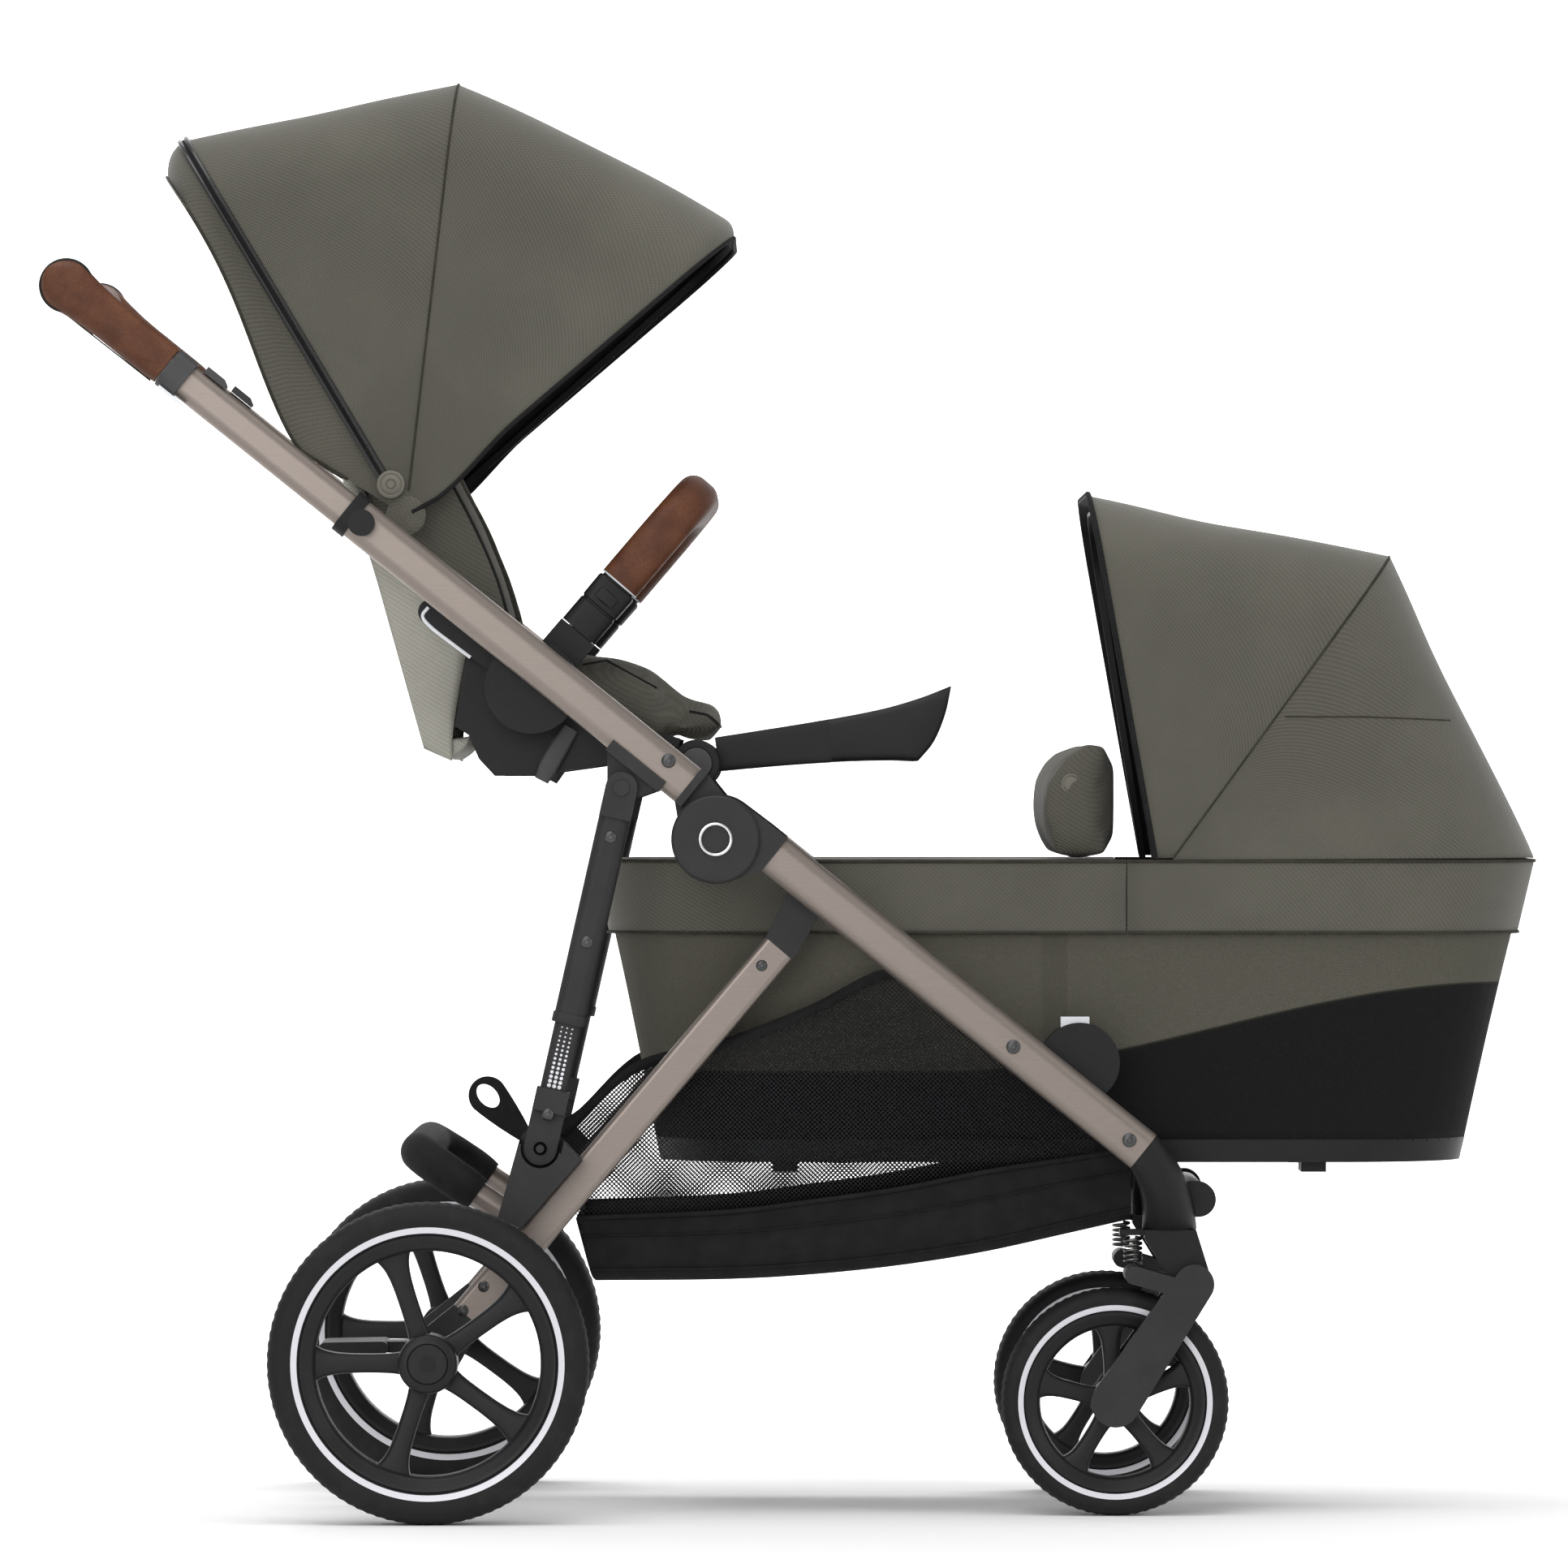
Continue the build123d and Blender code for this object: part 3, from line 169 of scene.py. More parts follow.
class Paint:
    """One finish: a material with a Principled shader."""

    def __init__(self, name):
        self.material = bpy.data.materials.new(name)
        self.material.use_nodes = True
        self.tree = self.material.node_tree
        self.shader = self.tree.nodes["Principled BSDF"]

    def put(self, socket, value):
        if isinstance(value, Field):
            self.tree.links.new(value.socket, socket)
        elif isinstance(value, bpy.types.NodeSocket):
            self.tree.links.new(value, socket)
        else:
            socket.default_value = value

    def node(self, kind, settings=None, values=None):
        node = self.tree.nodes.new(kind)
        for key, value in (settings or {}).items():
            setattr(node, key, value)
        for key, value in (values or {}).items():
            self.put(node.inputs[key], value)
        return node

    def set(self, **values):
        """Sockets of the shader by name, with _ for a space."""
        for key, value in values.items():
            self.put(self.shader.inputs[key.replace("_", " ")], value)
        return self

    def place(self, kind="Object"):
        """The surface's own place: metres on the object, or metres of cloth from its UV map."""
        return self.node("ShaderNodeTexCoord").outputs[kind]

    def axes(self, kind="Object"):
        split = self.node("ShaderNodeSeparateXYZ", values={"Vector": self.place(kind)})
        return [Field(self, out) for out in split.outputs]

    def noise(self, scale, detail=2.0, kind="Object", stretch=None):
        where = self.place(kind)
        if stretch:
            where = self.node("ShaderNodeMapping", values={"Vector": where, "Scale": stretch}).outputs[0]
        node = self.node("ShaderNodeTexNoise", values={"Vector": where, "Scale": scale, "Detail": detail})
        return Field(self, node.outputs["Fac"])

    def cells(self, scale, kind="Object"):
        node = self.node("ShaderNodeTexVoronoi", values={"Vector": self.place(kind), "Scale": scale})
        return Field(self, node.outputs["Distance"])

    def mix(self, share, first, second):
        """Colour first where share is 0 and second where it is 1."""
        node = self.node("ShaderNodeMix", {"data_type": "RGBA"})
        self.put(node.inputs[0], share)
        self.put(node.inputs[6], (*first, 1.0) if isinstance(first, tuple) else first)
        self.put(node.inputs[7], (*second, 1.0) if isinstance(second, tuple) else second)
        return node.outputs[2]

    def bump(self, height, distance, strength=1.0):
        node = self.node("ShaderNodeBump", values={"Height": height, "Distance": distance,
                                                   "Strength": strength})
        self.put(self.shader.inputs["Normal"], node.outputs[0])
        return self


print("Field and Paint ready")

# %% [markdown]
# ## Finishes
# The cloth is a twill: threads that step sideways make fine slanting ribs. The ribs are a sine
# of u + v, broken up by noise so that no two look the same. Cloth laid out from a grid knows how
# many metres of it there are in its UV map, so its ribs keep their size. Stuffed pads are
# remeshed and read the object's own coordinates instead.


# %% cloth finishes
def twill(name, dark, light, pitch=0.0021, kind="UV", sheen=0.25):
    """Slanting ribs: shade = (1 + sin(2 pi (u + v) / pitch)) / 2, mottled by noise."""
    paint = Paint(name)
    x, y, z = paint.axes(kind)
    across_cloth = x if kind == "UV" else y
    along_cloth = y if kind == "UV" else z + x * 0.6
    turn = 2.0 * math.pi / pitch
    ribs = ((across_cloth + along_cloth) * turn).sin()
    threads = ((across_cloth - along_cloth) * (turn * 0.5)).sin()
    shade = ribs * 0.3 + threads * 0.14 + paint.noise(1400.0, 2.0, kind) * 0.9 - 0.1
    soft = paint.noise(9.0, 3.0, "Object")
    tone = paint.mix(shade.step(-0.1, 0.95), dark, light)
    worn = paint.mix(soft.step(0.35, 0.75) * 0.22, tone, tuple(1.25 * c for c in light))
    paint.set(Base_Color=worn, Roughness=0.88, Sheen_Weight=sheen, Sheen_Roughness=0.5,
              Specular_IOR_Level=0.3)
    return paint.bump(shade, 0.00035, 0.55).material


def plain_weave(name, colour, pitch=0.0012, rough=0.85, kind="UV"):
    """Over and under threads: height = sin(2 pi u / pitch) * sin(2 pi v / pitch)."""
    paint = Paint(name)
    x, y, z = paint.axes(kind)
    turn = 2.0 * math.pi / pitch
    second = y if kind == "UV" else z
    height = (x * turn).sin() * (second * turn).sin()
    tone = paint.mix(paint.noise(60.0, 3.0).step(0.3, 0.7), colour, tuple(1.5 * c for c in colour))
    paint.set(Base_Color=tone, Roughness=rough, Specular_IOR_Level=0.2)
    return paint.bump(height, 0.0002, 0.5).material


def open_mesh(name, colour, pitch=0.0040, hole=0.30):
    """Staggered round holes where cos(pi (x + z) / pitch) * cos(pi (x - z) / pitch) is above a level."""
    paint = Paint(name)
    x, _, z = paint.axes()
    turn = math.pi / pitch
    wave = ((x + z) * turn).cos() * ((x - z) * turn).cos()
    solid = 1.0 - wave.size().step(hole, hole + 0.18)
    tone = paint.mix(paint.noise(500.0), colour, tuple(1.6 * c for c in colour))
    paint.set(Base_Color=tone, Roughness=0.8, Specular_IOR_Level=0.2, Alpha=solid)
    return paint.bump(wave.size(), 0.0004, 0.4).material


OLIVE_DARK, OLIVE_LIGHT = (0.046, 0.0440, 0.034), (0.120, 0.115, 0.092)
olive = twill("olive_twill", OLIVE_DARK, OLIVE_LIGHT)
olive_pad = twill("olive_pad", OLIVE_DARK, (0.098, 0.094, 0.076), kind="Object", sheen=0.12)
pale = twill("pale_cloth", (0.24, 0.235, 0.20), (0.40, 0.39, 0.345), kind="Object", sheen=0.1)
black_cloth = plain_weave("black_cloth", (0.0075, 0.0075, 0.008))
black_pad = plain_weave("black_pad", (0.009, 0.009, 0.0095), kind="Object")
mesh_cloth = open_mesh("mesh_cloth", (0.008, 0.008, 0.009))
lining = plain_weave("lining", (0.009, 0.009, 0.0095), pitch=0.0016)
print("cloth finishes: 7")

# %% [markdown]
# Leatherette is a pebbled skin: small cells with soft walls, and broader patches where hands
# have darkened it. The tubes are anodised aluminium, drawn through a die, so their grain is
# noise stretched a long way along the tube. Moulded plastic has a fine spark-eroded grain.


# %% hard finishes
def leather(name, dark, light):
    paint = Paint(name)
    pebbles = paint.cells(620.0)
    tone = paint.mix(paint.noise(34.0, 4.0).step(0.3, 0.72), dark, light)
    tone = paint.mix(pebbles.step(0.25, 0.75) * 0.35, tone, tuple(0.55 * c for c in dark))
    paint.set(Base_Color=tone, Roughness=0.5 + paint.noise(160.0) * 0.16, Specular_IOR_Level=0.3)
    return paint.bump(pebbles + paint.noise(900.0) * 0.4, 0.0005, 0.45).material


def anodised(name, colour, rough=0.34):
    paint = Paint(name)
    grain = paint.noise(70.0, 4.0, stretch=(0.9, 22.0, 26.0))
    tone = paint.mix(grain.step(0.2, 0.8), tuple(0.92 * c for c in colour), tuple(1.06 * c for c in colour))
    paint.set(Base_Color=tone, Metallic=0.75, Roughness=rough + grain * 0.12)
    return paint.bump(grain, 0.00004, 0.3).material


def moulded(name, colour, rough=0.48, grain=1500.0):
    paint = Paint(name)
    pits = paint.cells(grain)
    patch = paint.noise(26.0, 3.0)
    tone = paint.mix(patch.step(0.3, 0.75), colour, tuple(1.3 * c for c in colour))
    paint.set(Base_Color=tone, Roughness=rough + patch * 0.12, Specular_IOR_Level=0.25)
    return paint.bump(pits, 0.00012, 0.5).material


def rubber(name, colour):
    paint = Paint(name)
    dust = paint.noise(45.0, 4.0)
    tone = paint.mix(dust.step(0.45, 0.8) * 0.4, colour, (0.030, 0.029, 0.027))
    paint.set(Base_Color=tone, Roughness=0.62 + dust * 0.2, Specular_IOR_Level=0.3)
    return paint.bump(paint.noise(800.0), 0.00015, 0.4).material


def metal(name, colour, rough):
    paint = Paint(name)
    scuff = paint.noise(300.0, 3.0)
    paint.set(Base_Color=paint.mix(scuff, colour, tuple(0.8 * c for c in colour)))
    return paint.set(Metallic=1.0, Roughness=rough + scuff * 0.15).material


def gloss(name, colour, rough=0.28):
    paint = Paint(name)
    haze = paint.noise(18.0, 3.0)
    tone = paint.mix(haze, colour, tuple(0.93 * c for c in colour))
    return paint.set(Base_Color=tone, Roughness=rough + haze * 0.1, Coat_Weight=0.2).material


taupe = anodised("taupe_tube", (0.250, 0.213, 0.190))
dark = moulded("dark_plastic", (0.021, 0.021, 0.022))
grey = moulded("grey_plastic", (0.050, 0.050, 0.052), rough=0.44)
olive_plastic = moulded("olive_plastic", (0.120, 0.115, 0.094), rough=0.5)
black = moulded("black_plastic", (0.0065, 0.0065, 0.007), rough=0.42)
zip_black = gloss("zip_teeth", (0.010, 0.010, 0.011), 0.3)
wheel_plastic = moulded("wheel_plastic", (0.010, 0.010, 0.011), rough=0.38, grain=900.0)
brown = leather("brown_leather", (0.070, 0.020, 0.007), (0.125, 0.043, 0.017))
tyre_rubber = rubber("tyre_rubber", (0.0065, 0.0065, 0.007))
steel = metal("steel", (0.22, 0.215, 0.21), 0.28)
bolt = metal("dark_bolt", (0.10, 0.10, 0.10), 0.34)
chrome = metal("bright_steel", (0.75, 0.75, 0.75), 0.14)
white = gloss("white_button", (0.74, 0.76, 0.79))
grey_disc = gloss("pale_disc", (0.50, 0.51, 0.53), 0.4)
reflector = gloss("reflector", (0.70, 0.70, 0.74), 0.35)
thread = plain_weave("thread", (0.026, 0.024, 0.018), kind="Object")
print("hard finishes: 16")

# %% [markdown]
# ## Grids of places
# Every new piece is a grid: rows and columns of places that a formula gives all at once. `Shape`
# collects grids and turns them into one mesh. It also measures the cloth along rows and columns
# and keeps those lengths as the UV map, so a weave keeps its true size on any curve.


# %% grids into meshes
def quads(rows, columns, wrap_rows, wrap_columns):
    """Corner numbers of the faces of a grid, joined round where it wraps."""
    i = np.arange(rows if wrap_rows else rows - 1)
    j = np.arange(columns if wrap_columns else columns - 1)
    a, b = np.meshgrid(i, j, indexing="ij")
    a_next, b_next = (a + 1) % rows, (b + 1) % columns
    corners = [a * columns + b, a_next * columns + b, a_next * columns + b_next, a * columns + b_next]
    return np.stack(corners, -1).reshape(-1, 4)


def lengths(place, axis):
    """Distance run along one axis of a grid, averaged over the other."""
    step = np.linalg.norm(np.diff(place, axis=axis), axis=2).mean(axis=1 - axis)
    return np.concatenate([[0.0], np.cumsum(step)])


SHARP_ANGLE = math.radians(42.0)


class Shape:
    """Grids gathered into one mesh, each with the number of its finish."""

    def __init__(self, name):
        self.name, self.count = name, 0
        self.points, self.faces, self.marks, self.cloth = [], [], [], []

    def grid(self, place, wrap=(False, False), ends=False, mark=0):
        """place is (rows, columns, 3) in millimetres; ends closes the first and last row."""
        rows, columns = place.shape[:2]
        faces = (quads(rows, columns, *wrap) + self.count).tolist()
        flat_places = place.reshape(-1, 3)
        u, v = np.meshgrid(lengths(place, 0), lengths(place, 1), indexing="ij")
        cloth = np.stack([u, v], -1).reshape(-1, 2)
        if ends:
            last = (rows - 1) * columns
            ring = np.arange(columns)
            pole = rows * columns + self.count
            for number, start in ((pole, 0), (pole + 1, last)):
                row = ring + start + self.count
                faces += np.stack([row, np.roll(row, -1), np.full(columns, number)], -1).tolist()
            centres = [place[0].mean(0), place[-1].mean(0)]
            flat_places = np.concatenate([flat_places, centres])
            cloth = np.concatenate([cloth, [[0, 0], [0, 0]]])
        self.points.append(flat_places)
        self.cloth.append(cloth)
        self.faces += faces
        self.marks += [mark] * len(faces)
        self.count += len(flat_places)
        return self

    def build(self, *finishes, solid=True, smooth=True, about=None):
        """One mesh. An open sheet turns its face away from the place about, if one is given."""
        points = np.concatenate(self.points) * MM
        mesh = bpy.data.meshes.new(self.name)
        mesh.from_pydata(points.tolist(), [], self.faces)
        corner = np.zeros(len(mesh.loops), np.int32)
        mesh.loops.foreach_get("vertex_index", corner)
        cloth = mesh.uv_layers.new(name="cloth")
        cloth.data.foreach_set("uv", (np.concatenate(self.cloth) * MM)[corner].astype(np.float32).ravel())
        mesh.polygons.foreach_set("material_index", np.array(self.marks, np.int32))
        for finish in finishes:
            mesh.materials.append(finish)
        shell = bmesh.new()
        shell.from_mesh(mesh)
        bmesh.ops.remove_doubles(shell, verts=shell.verts, dist=2e-6)
        if solid:
            bmesh.ops.recalc_face_normals(shell, faces=shell.faces)
        if about is not None:
            centre = Vector(about) * MM
            facing = sum(f.normal.dot(f.calc_center_median() - centre) * f.calc_area() for f in shell.faces)
            if facing < 0:
                bmesh.ops.reverse_faces(shell, faces=shell.faces)
        shell.to_mesh(mesh)
        shell.free()
        mesh.polygons.foreach_set("use_smooth", [smooth] * len(mesh.polygons))
        mesh.set_sharp_from_angle(angle=SHARP_ANGLE)
        piece = bpy.data.objects.new(self.name, mesh)
        bpy.context.scene.collection.objects.link(piece)
        return piece


def carried(piece, body, slot, *nodes):
    """The piece rides a body and stands for CAD nodes, which it hides. slot is not used."""
    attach(piece, body)
    if nodes:
        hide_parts(*nodes)
    return piece


print("Shape ready")

# %% [markdown]
# ## Paths and sections
# Bars, grips and piping are one section carried along a path. `route` rounds the corners of a
# bent bar, and `sweep` stands the section square to the path at every station.


# %% paths and sections
def rounded(wide, high, corner, each=6):
    """Outline of a rounded rectangle: four quarter circles about the corner centres."""
    angle = np.linspace(0, math.pi / 2, each)
    quarter = np.concatenate([angle + k * math.pi / 2 for k in range(4)])
    side_x = np.repeat([1, -1, -1, 1], each) * (wide / 2 - corner)
    side_y = np.repeat([1, 1, -1, -1], each) * (high / 2 - corner)
    return np.stack([side_x + corner * np.cos(quarter), side_y + corner * np.sin(quarter)], -1)


def oval(a, b, count=20):
    turn = np.linspace(0, 2 * math.pi, count, endpoint=False)
    return np.stack([a * np.cos(turn), b * np.sin(turn)], -1)


def straight(p, q, count=12):
    return np.linspace(0, 1, count)[:, None] * (np.array(q, float) - p) + np.array(p, float)


def bar_route(points, bend, each=9):
    """A bent bar's centreline: straight runs, with an arc of radius bend at each corner."""
    points = [np.array(p, float) for p in points]
    run = [points[0][None]]
    for before, here, after in zip(points, points[1:], points[2:]):
        a = (before - here) / np.linalg.norm(before - here)
        b = (after - here) / np.linalg.norm(after - here)
        half = math.acos(np.clip(a @ b, -1, 1)) / 2
        middle = here + (a + b) / np.linalg.norm(a + b) * bend / math.sin(half)
        start, end = here + a * bend / math.tan(half), here + b * bend / math.tan(half)
        share = np.linspace(0, 1, each)[:, None]
        arm_a, arm_b = start - middle, end - middle
        whole = math.acos(np.clip(arm_a @ arm_b / bend**2, -1, 1))
        arc = (np.sin((1 - share) * whole) * arm_a + np.sin(share * whole) * arm_b) / math.sin(whole)
        run.append(middle + arc)
    run.append(points[-1][None])
    return np.concatenate(run)


def even(path, step):
    """The same path with stations a step apart."""
    run = np.concatenate([[0], np.cumsum(np.linalg.norm(np.diff(path, axis=0), axis=1))])
    stations = np.linspace(0, run[-1], max(int(run[-1] / step), 2) + 1)
    return np.stack([np.interp(stations, run, path[:, k]) for k in range(3)], -1)


def sweep(path, section, up, grow=None):
    """Section carried along a path: place = path + grow * (x * side + y * up)."""
    tangent = np.gradient(path, axis=0)
    tangent /= np.linalg.norm(tangent, axis=1)[:, None]
    side = np.cross(tangent, np.array(up, float))
    side /= np.linalg.norm(side, axis=1)[:, None]
    over = np.cross(side, tangent)
    size = np.ones(len(path)) if grow is None else np.array(grow)
    x, y = section[:, 0], section[:, 1]
    spread = x[None, :, None] * side[:, None] + y[None, :, None] * over[:, None]
    return path[:, None] + size[:, None, None] * spread


def lathe(centre, profile, count, ripple=None):
    """Profile (radius, y) turned about an axis across the stroller."""
    turn = np.linspace(0, 2 * math.pi, count, endpoint=False)[:, None]
    radius = profile[None, :, 0] + (0 * turn if ripple is None else ripple(turn, profile[None, :, 1]))
    y = np.broadcast_to(profile[None, :, 1], radius.shape)
    return np.stack([centre[0] + radius * np.cos(turn), y, centre[1] + radius * np.sin(turn)], -1)


def at_y(point, y):
    return np.array([point[0], y, point[1]])


def side_mirror(place):
    """The same places on the other side."""
    return place * np.array([1.0, -1.0, 1.0])


print("paths ready")

# %% [markdown]
# ## CAD parts keep their shape
# Tubes, castings and hubs are already right, so they only get finishes. The finish is put in the
# node's own material slots.

# %% finishes of the CAD nodes
CAD_FINISH = {
    taupe: "front_tubes upper_tubes rear_legs handle_tube rear_bow front_cross_tube",
    dark: "strut_tubes fold_hubs hub_caps upper_hinges strut_feet leg_brackets fork_right fork_left",
    grey: "handle_collars fold_sliders",
    black: "front_castings cot_adapters tube_clamps seat_adapters seat_frame rear_axle brake_pedal caster_right "
           "caster_left cot_base cot_hood_bow canopy_mid_bow canopy_front_bow",
    bolt: "frame_fasteners",
    white: "cot_buttons",
}
for finish, names in CAD_FINISH.items():
    for name in names.split():
        node = frame["nodes"][name]
        node.data.materials.clear()
        node.data.materials.append(finish)
print("CAD nodes dressed:", sum(len(names.split()) for names in CAD_FINISH.values()))

# %% [markdown]
# ## Folding covers
# The canopy is cloth stretched over bows that turn about one pivot. Between two bows it dips, as
# cloth does, because it is pulled only along its length. In polar terms the place is
# pivot + r (cos a, sin a), where r and y climb one side, turn over a rounded edge and cross.


# %% cover over bows
def over_bows(pivot, low, high, radius, half, edge, inner, dip=0.03, rows=34, bend=None):
    """Grid of cloth: rows follow the angle and columns the line up, over and down."""
    share = (0.5 - 0.5 * np.cos(np.linspace(0, math.pi, rows)))[:, None]
    tall = radius(share)
    edge = edge(share) if callable(edge) else np.full_like(share, edge)
    start = inner(share) if callable(inner) else np.full_like(share, inner)
    rise = np.linspace(0, 1, 26)[None, :-1]
    turn = np.linspace(0, math.pi / 2, 10)[None, :]
    span = np.linspace(0, 1, 13)[None, 1:]
    up_r = start + (tall - edge - start) * rise
    up_y = -half + 0 * up_r
    arc_r = tall - edge + edge * np.sin(turn)
    arc_y = -half + edge - edge * np.cos(turn)
    top_r = tall + 0 * span
    top_y = (-half + edge) * (1 - span)
    r = np.concatenate([up_r, arc_r, top_r], 1)
    y = np.concatenate([up_y, arc_y, top_y], 1)
    pull = np.sin(math.pi * share) * np.sin(math.pi * np.clip(r / tall, 0, 1) ** 1.5)
    y = y * (1 - dip * pull)
    r = np.concatenate([r, r[:, -2::-1]], 1)
    y = np.concatenate([y, -y[:, -2::-1]], 1)
    creases = np.sin(share * 9 + r * 0.035) * np.sin(r * 0.021 + 1.3) + 0.6 * np.sin(y * 0.05 + share * 7)
    r = r + 0.7 * creases * np.sin(math.pi * share) * (r > start + 40)
    angle = low + (high - low) * share + 0 * r
    if bend is not None:
        angle = bend(angle, share, r)
    angle = np.radians(angle)
    return np.stack([pivot[0] + r * np.cos(angle), y, pivot[1] + r * np.sin(angle)], -1)


def three(first, middle, last):
    """Radius that passes three values: a parabola over the span."""
    return lambda s: first + (4 * middle - 3 * first - last) * s + (2 * first + 2 * last - 4 * middle) * s**2


def bow_line(pivot, angle, radius, half, edge, inner, lift=0.0):
    """The line on a cover along one bow, lifted off the cloth."""
    row = over_bows(pivot, angle, angle, lambda s: radius + lift + 0 * s, half + lift, edge, inner, 0.0,
                    rows=2)
    return row[0]


def cloth_sheet(shape, about, outer, inner, thick, body, nodes=(), blend=None):
    """Cloth with a wall: outer finish, lining, and its cut size as measured on the grid."""
    piece = shape.build(outer, inner, solid=False, about=about)
    wall = piece.modifiers.new("wall", "SOLIDIFY")
    wall.thickness, wall.offset, wall.material_offset = thick * MM, -1.0, 1
    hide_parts(*nodes)
    if blend:
        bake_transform(piece)
    else:
        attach(piece, body)
    return piece


CANOPY = flat(PIVOT["canopy_mid_fold"])
CANOPY_PLACE = (CANOPY[0], 0, CANOPY[1])
CANOPY_HALF = high("canopy_front_panel")[1]
COVER_EDGE = 70.0
FRONT_BOW, MID_BOW, REAR_BOW, REAR_EDGE = 40.6, 83.4, 120.9, 125.4
print("canopy pivot", CANOPY.round(1), "half width", round(CANOPY_HALF, 1))

# %% canopy panels
def front_edge(angle, share, r):
    """The front edge curves down near the pivot, most of all at its own row."""
    return angle - 13.0 * (1 - share) ** 2 * np.clip((125 - r) / 95, 0, 1) ** 2


def rear_edge(angle, share, r):
    """The rear strip widens towards the pivot, as the cube of the way down."""
    return angle + 23.0 * share * np.clip((378 - r) / 267, 0, 1) ** 3


def nosed(share):
    """Radius 390, 366.5, 385 mm, less 11 (1 - s / 0.06)^2 where the cloth rolls in at the front."""
    return three(390, 366.5, 385)(share) - 11.0 * np.clip(1 - share / 0.06, 0, 1) ** 2


def tucked(share):
    """Radius 388 - 9 s, less 12 ((s - 0.4) / 0.6)^2 where the cloth rolls in at the back."""
    return 388.0 - 9.0 * share - 12.0 * np.clip((share - 0.4) / 0.6, 0, 1) ** 2


front_panel = Shape("canopy_front_cloth").grid(over_bows(
    CANOPY, FRONT_BOW, MID_BOW, nosed, CANOPY_HALF, COVER_EDGE, 5.0, rows=44, bend=front_edge))
cloth_sheet(front_panel, CANOPY_PLACE, olive, lining, 1.6, "canopy_front",
            ["canopy_front_panel"],
            ("canopy_mid", "canopy_front",
             (CANOPY[0] * MM + 0.04, 0, (CANOPY[1] + 385) * MM),
             (CANOPY[0] * MM + 0.26, 0, (CANOPY[1] + 280) * MM)))
mid_panel = Shape("canopy_mid_cloth").grid(over_bows(
    CANOPY, MID_BOW + 0.15, REAR_BOW - 0.15, three(385, 366, 387), CANOPY_HALF, COVER_EDGE, 5.0))
cloth_sheet(mid_panel, CANOPY_PLACE, olive, lining, 1.6, "canopy_mid",
            ["canopy_mid_panel"],
            ("backrest", "canopy_mid",
             (CANOPY[0] * MM - 0.20, 0, (CANOPY[1] + 330) * MM),
             (CANOPY[0] * MM + 0.04, 0, (CANOPY[1] + 385) * MM)))
rear_panel = Shape("canopy_rear_cloth").grid(over_bows(
    CANOPY, REAR_BOW + 0.1, REAR_EDGE, tucked, CANOPY_HALF, COVER_EDGE, 5.0, rows=12, bend=rear_edge))
curtain_x = np.linspace(-CANOPY_HALF + 7, CANOPY_HALF - 7, 30)[None, :]
curtain_r = np.linspace(372, 185, 26)[:, None] - 34 * (np.abs(curtain_x) / CANOPY_HALF) ** 6 * (
    np.linspace(1, 0, 26)[:, None])
curtain_a = np.radians(REAR_EDGE + 0.3 - 1.6 * np.cos(curtain_x / CANOPY_HALF * 1.5) * np.sin(
    np.linspace(0.1, 3.0, 26)[:, None]))
curtain = np.stack([CANOPY[0] + curtain_r * np.cos(curtain_a), curtain_x + 0 * curtain_r,
                    CANOPY[1] + curtain_r * np.sin(curtain_a)], -1)
rear_panel.grid(curtain)
cloth_sheet(rear_panel, CANOPY_PLACE, olive, lining, 1.6, "backrest",
            ["canopy_rear"])

# %% [markdown]
# Piping is a thin cord sewn into a seam. It follows the same formula as the cloth, lifted a
# little, so it never leaves the seam. The zip is two such rows with a black tape between them.


# %% canopy trim
def laid_on(piece, line, sign, step=6.0):
    """Places of a line drawn in the side view, dropped sideways onto a piece's surface."""
    mesh = piece.data
    tree = BVHTree.FromPolygons([v.co[:] for v in mesh.vertices], [p.vertices[:] for p in mesh.polygons])
    path = even(np.insert(np.array(line, float), 1, 0, axis=1), step)
    hits = [tree.ray_cast(Vector((x * MM, sign * 0.4, z * MM)), Vector((0, -sign, 0)))[0] for x, _, z in path]
    return np.array([np.array(hit) / MM for hit in hits if hit is not None])


def piping(name, line, radius, finish, body, slot="black_cloth", wide=None):
    """A small round or flat section carried along a seam."""
    section = oval(radius, radius, 8) if wide is None else oval(wide, radius, 12)
    path = even(line, 4.0)
    piece = Shape(name).grid(sweep(path, section, (0.2, 1.0, 0.1)), (False, True), ends=True).build(finish)
    return carried(piece, body, slot)


piping("canopy_mid_piping", bow_line(CANOPY, MID_BOW, 385, CANOPY_HALF, COVER_EDGE, 22, 0.4), 1.0, thread,
       "canopy_mid",
       "olive_cloth")
ZIP_SQUARE = at_y(turned(REAR_BOW + 90.0), 0.0)
for number, shift in enumerate((-3.2, 3.2)):
    row = bow_line(CANOPY, REAR_BOW, 387, CANOPY_HALF, COVER_EDGE, 40, 1.2) + shift * ZIP_SQUARE
    piping(f"zip_row_{number}", row, 2.2, zip_black, "backrest")
tape_low = bow_line(CANOPY, REAR_BOW - 0.6, 387, CANOPY_HALF, COVER_EDGE, 40, 0.9)
tape_high = bow_line(CANOPY, REAR_BOW + 0.6, 387, CANOPY_HALF, COVER_EDGE, 40, 0.9)
zip_tape = Shape("zip_tape").grid(np.stack([tape_low, (tape_low + tape_high) / 2,
                                            tape_high])).build(black_cloth, solid=False)
wall = zip_tape.modifiers.new("wall", "SOLIDIFY")
wall.thickness = 0.6 * MM
carried(zip_tape, "backrest", "black_cloth")
edge_row = over_bows(CANOPY, FRONT_BOW, MID_BOW, nosed, CANOPY_HALF + 0.6, COVER_EDGE, 6.0, 0.0,
                     bend=front_edge)[0]
piping("canopy_front_binding", edge_row, 2.0, black_cloth, "canopy_front")
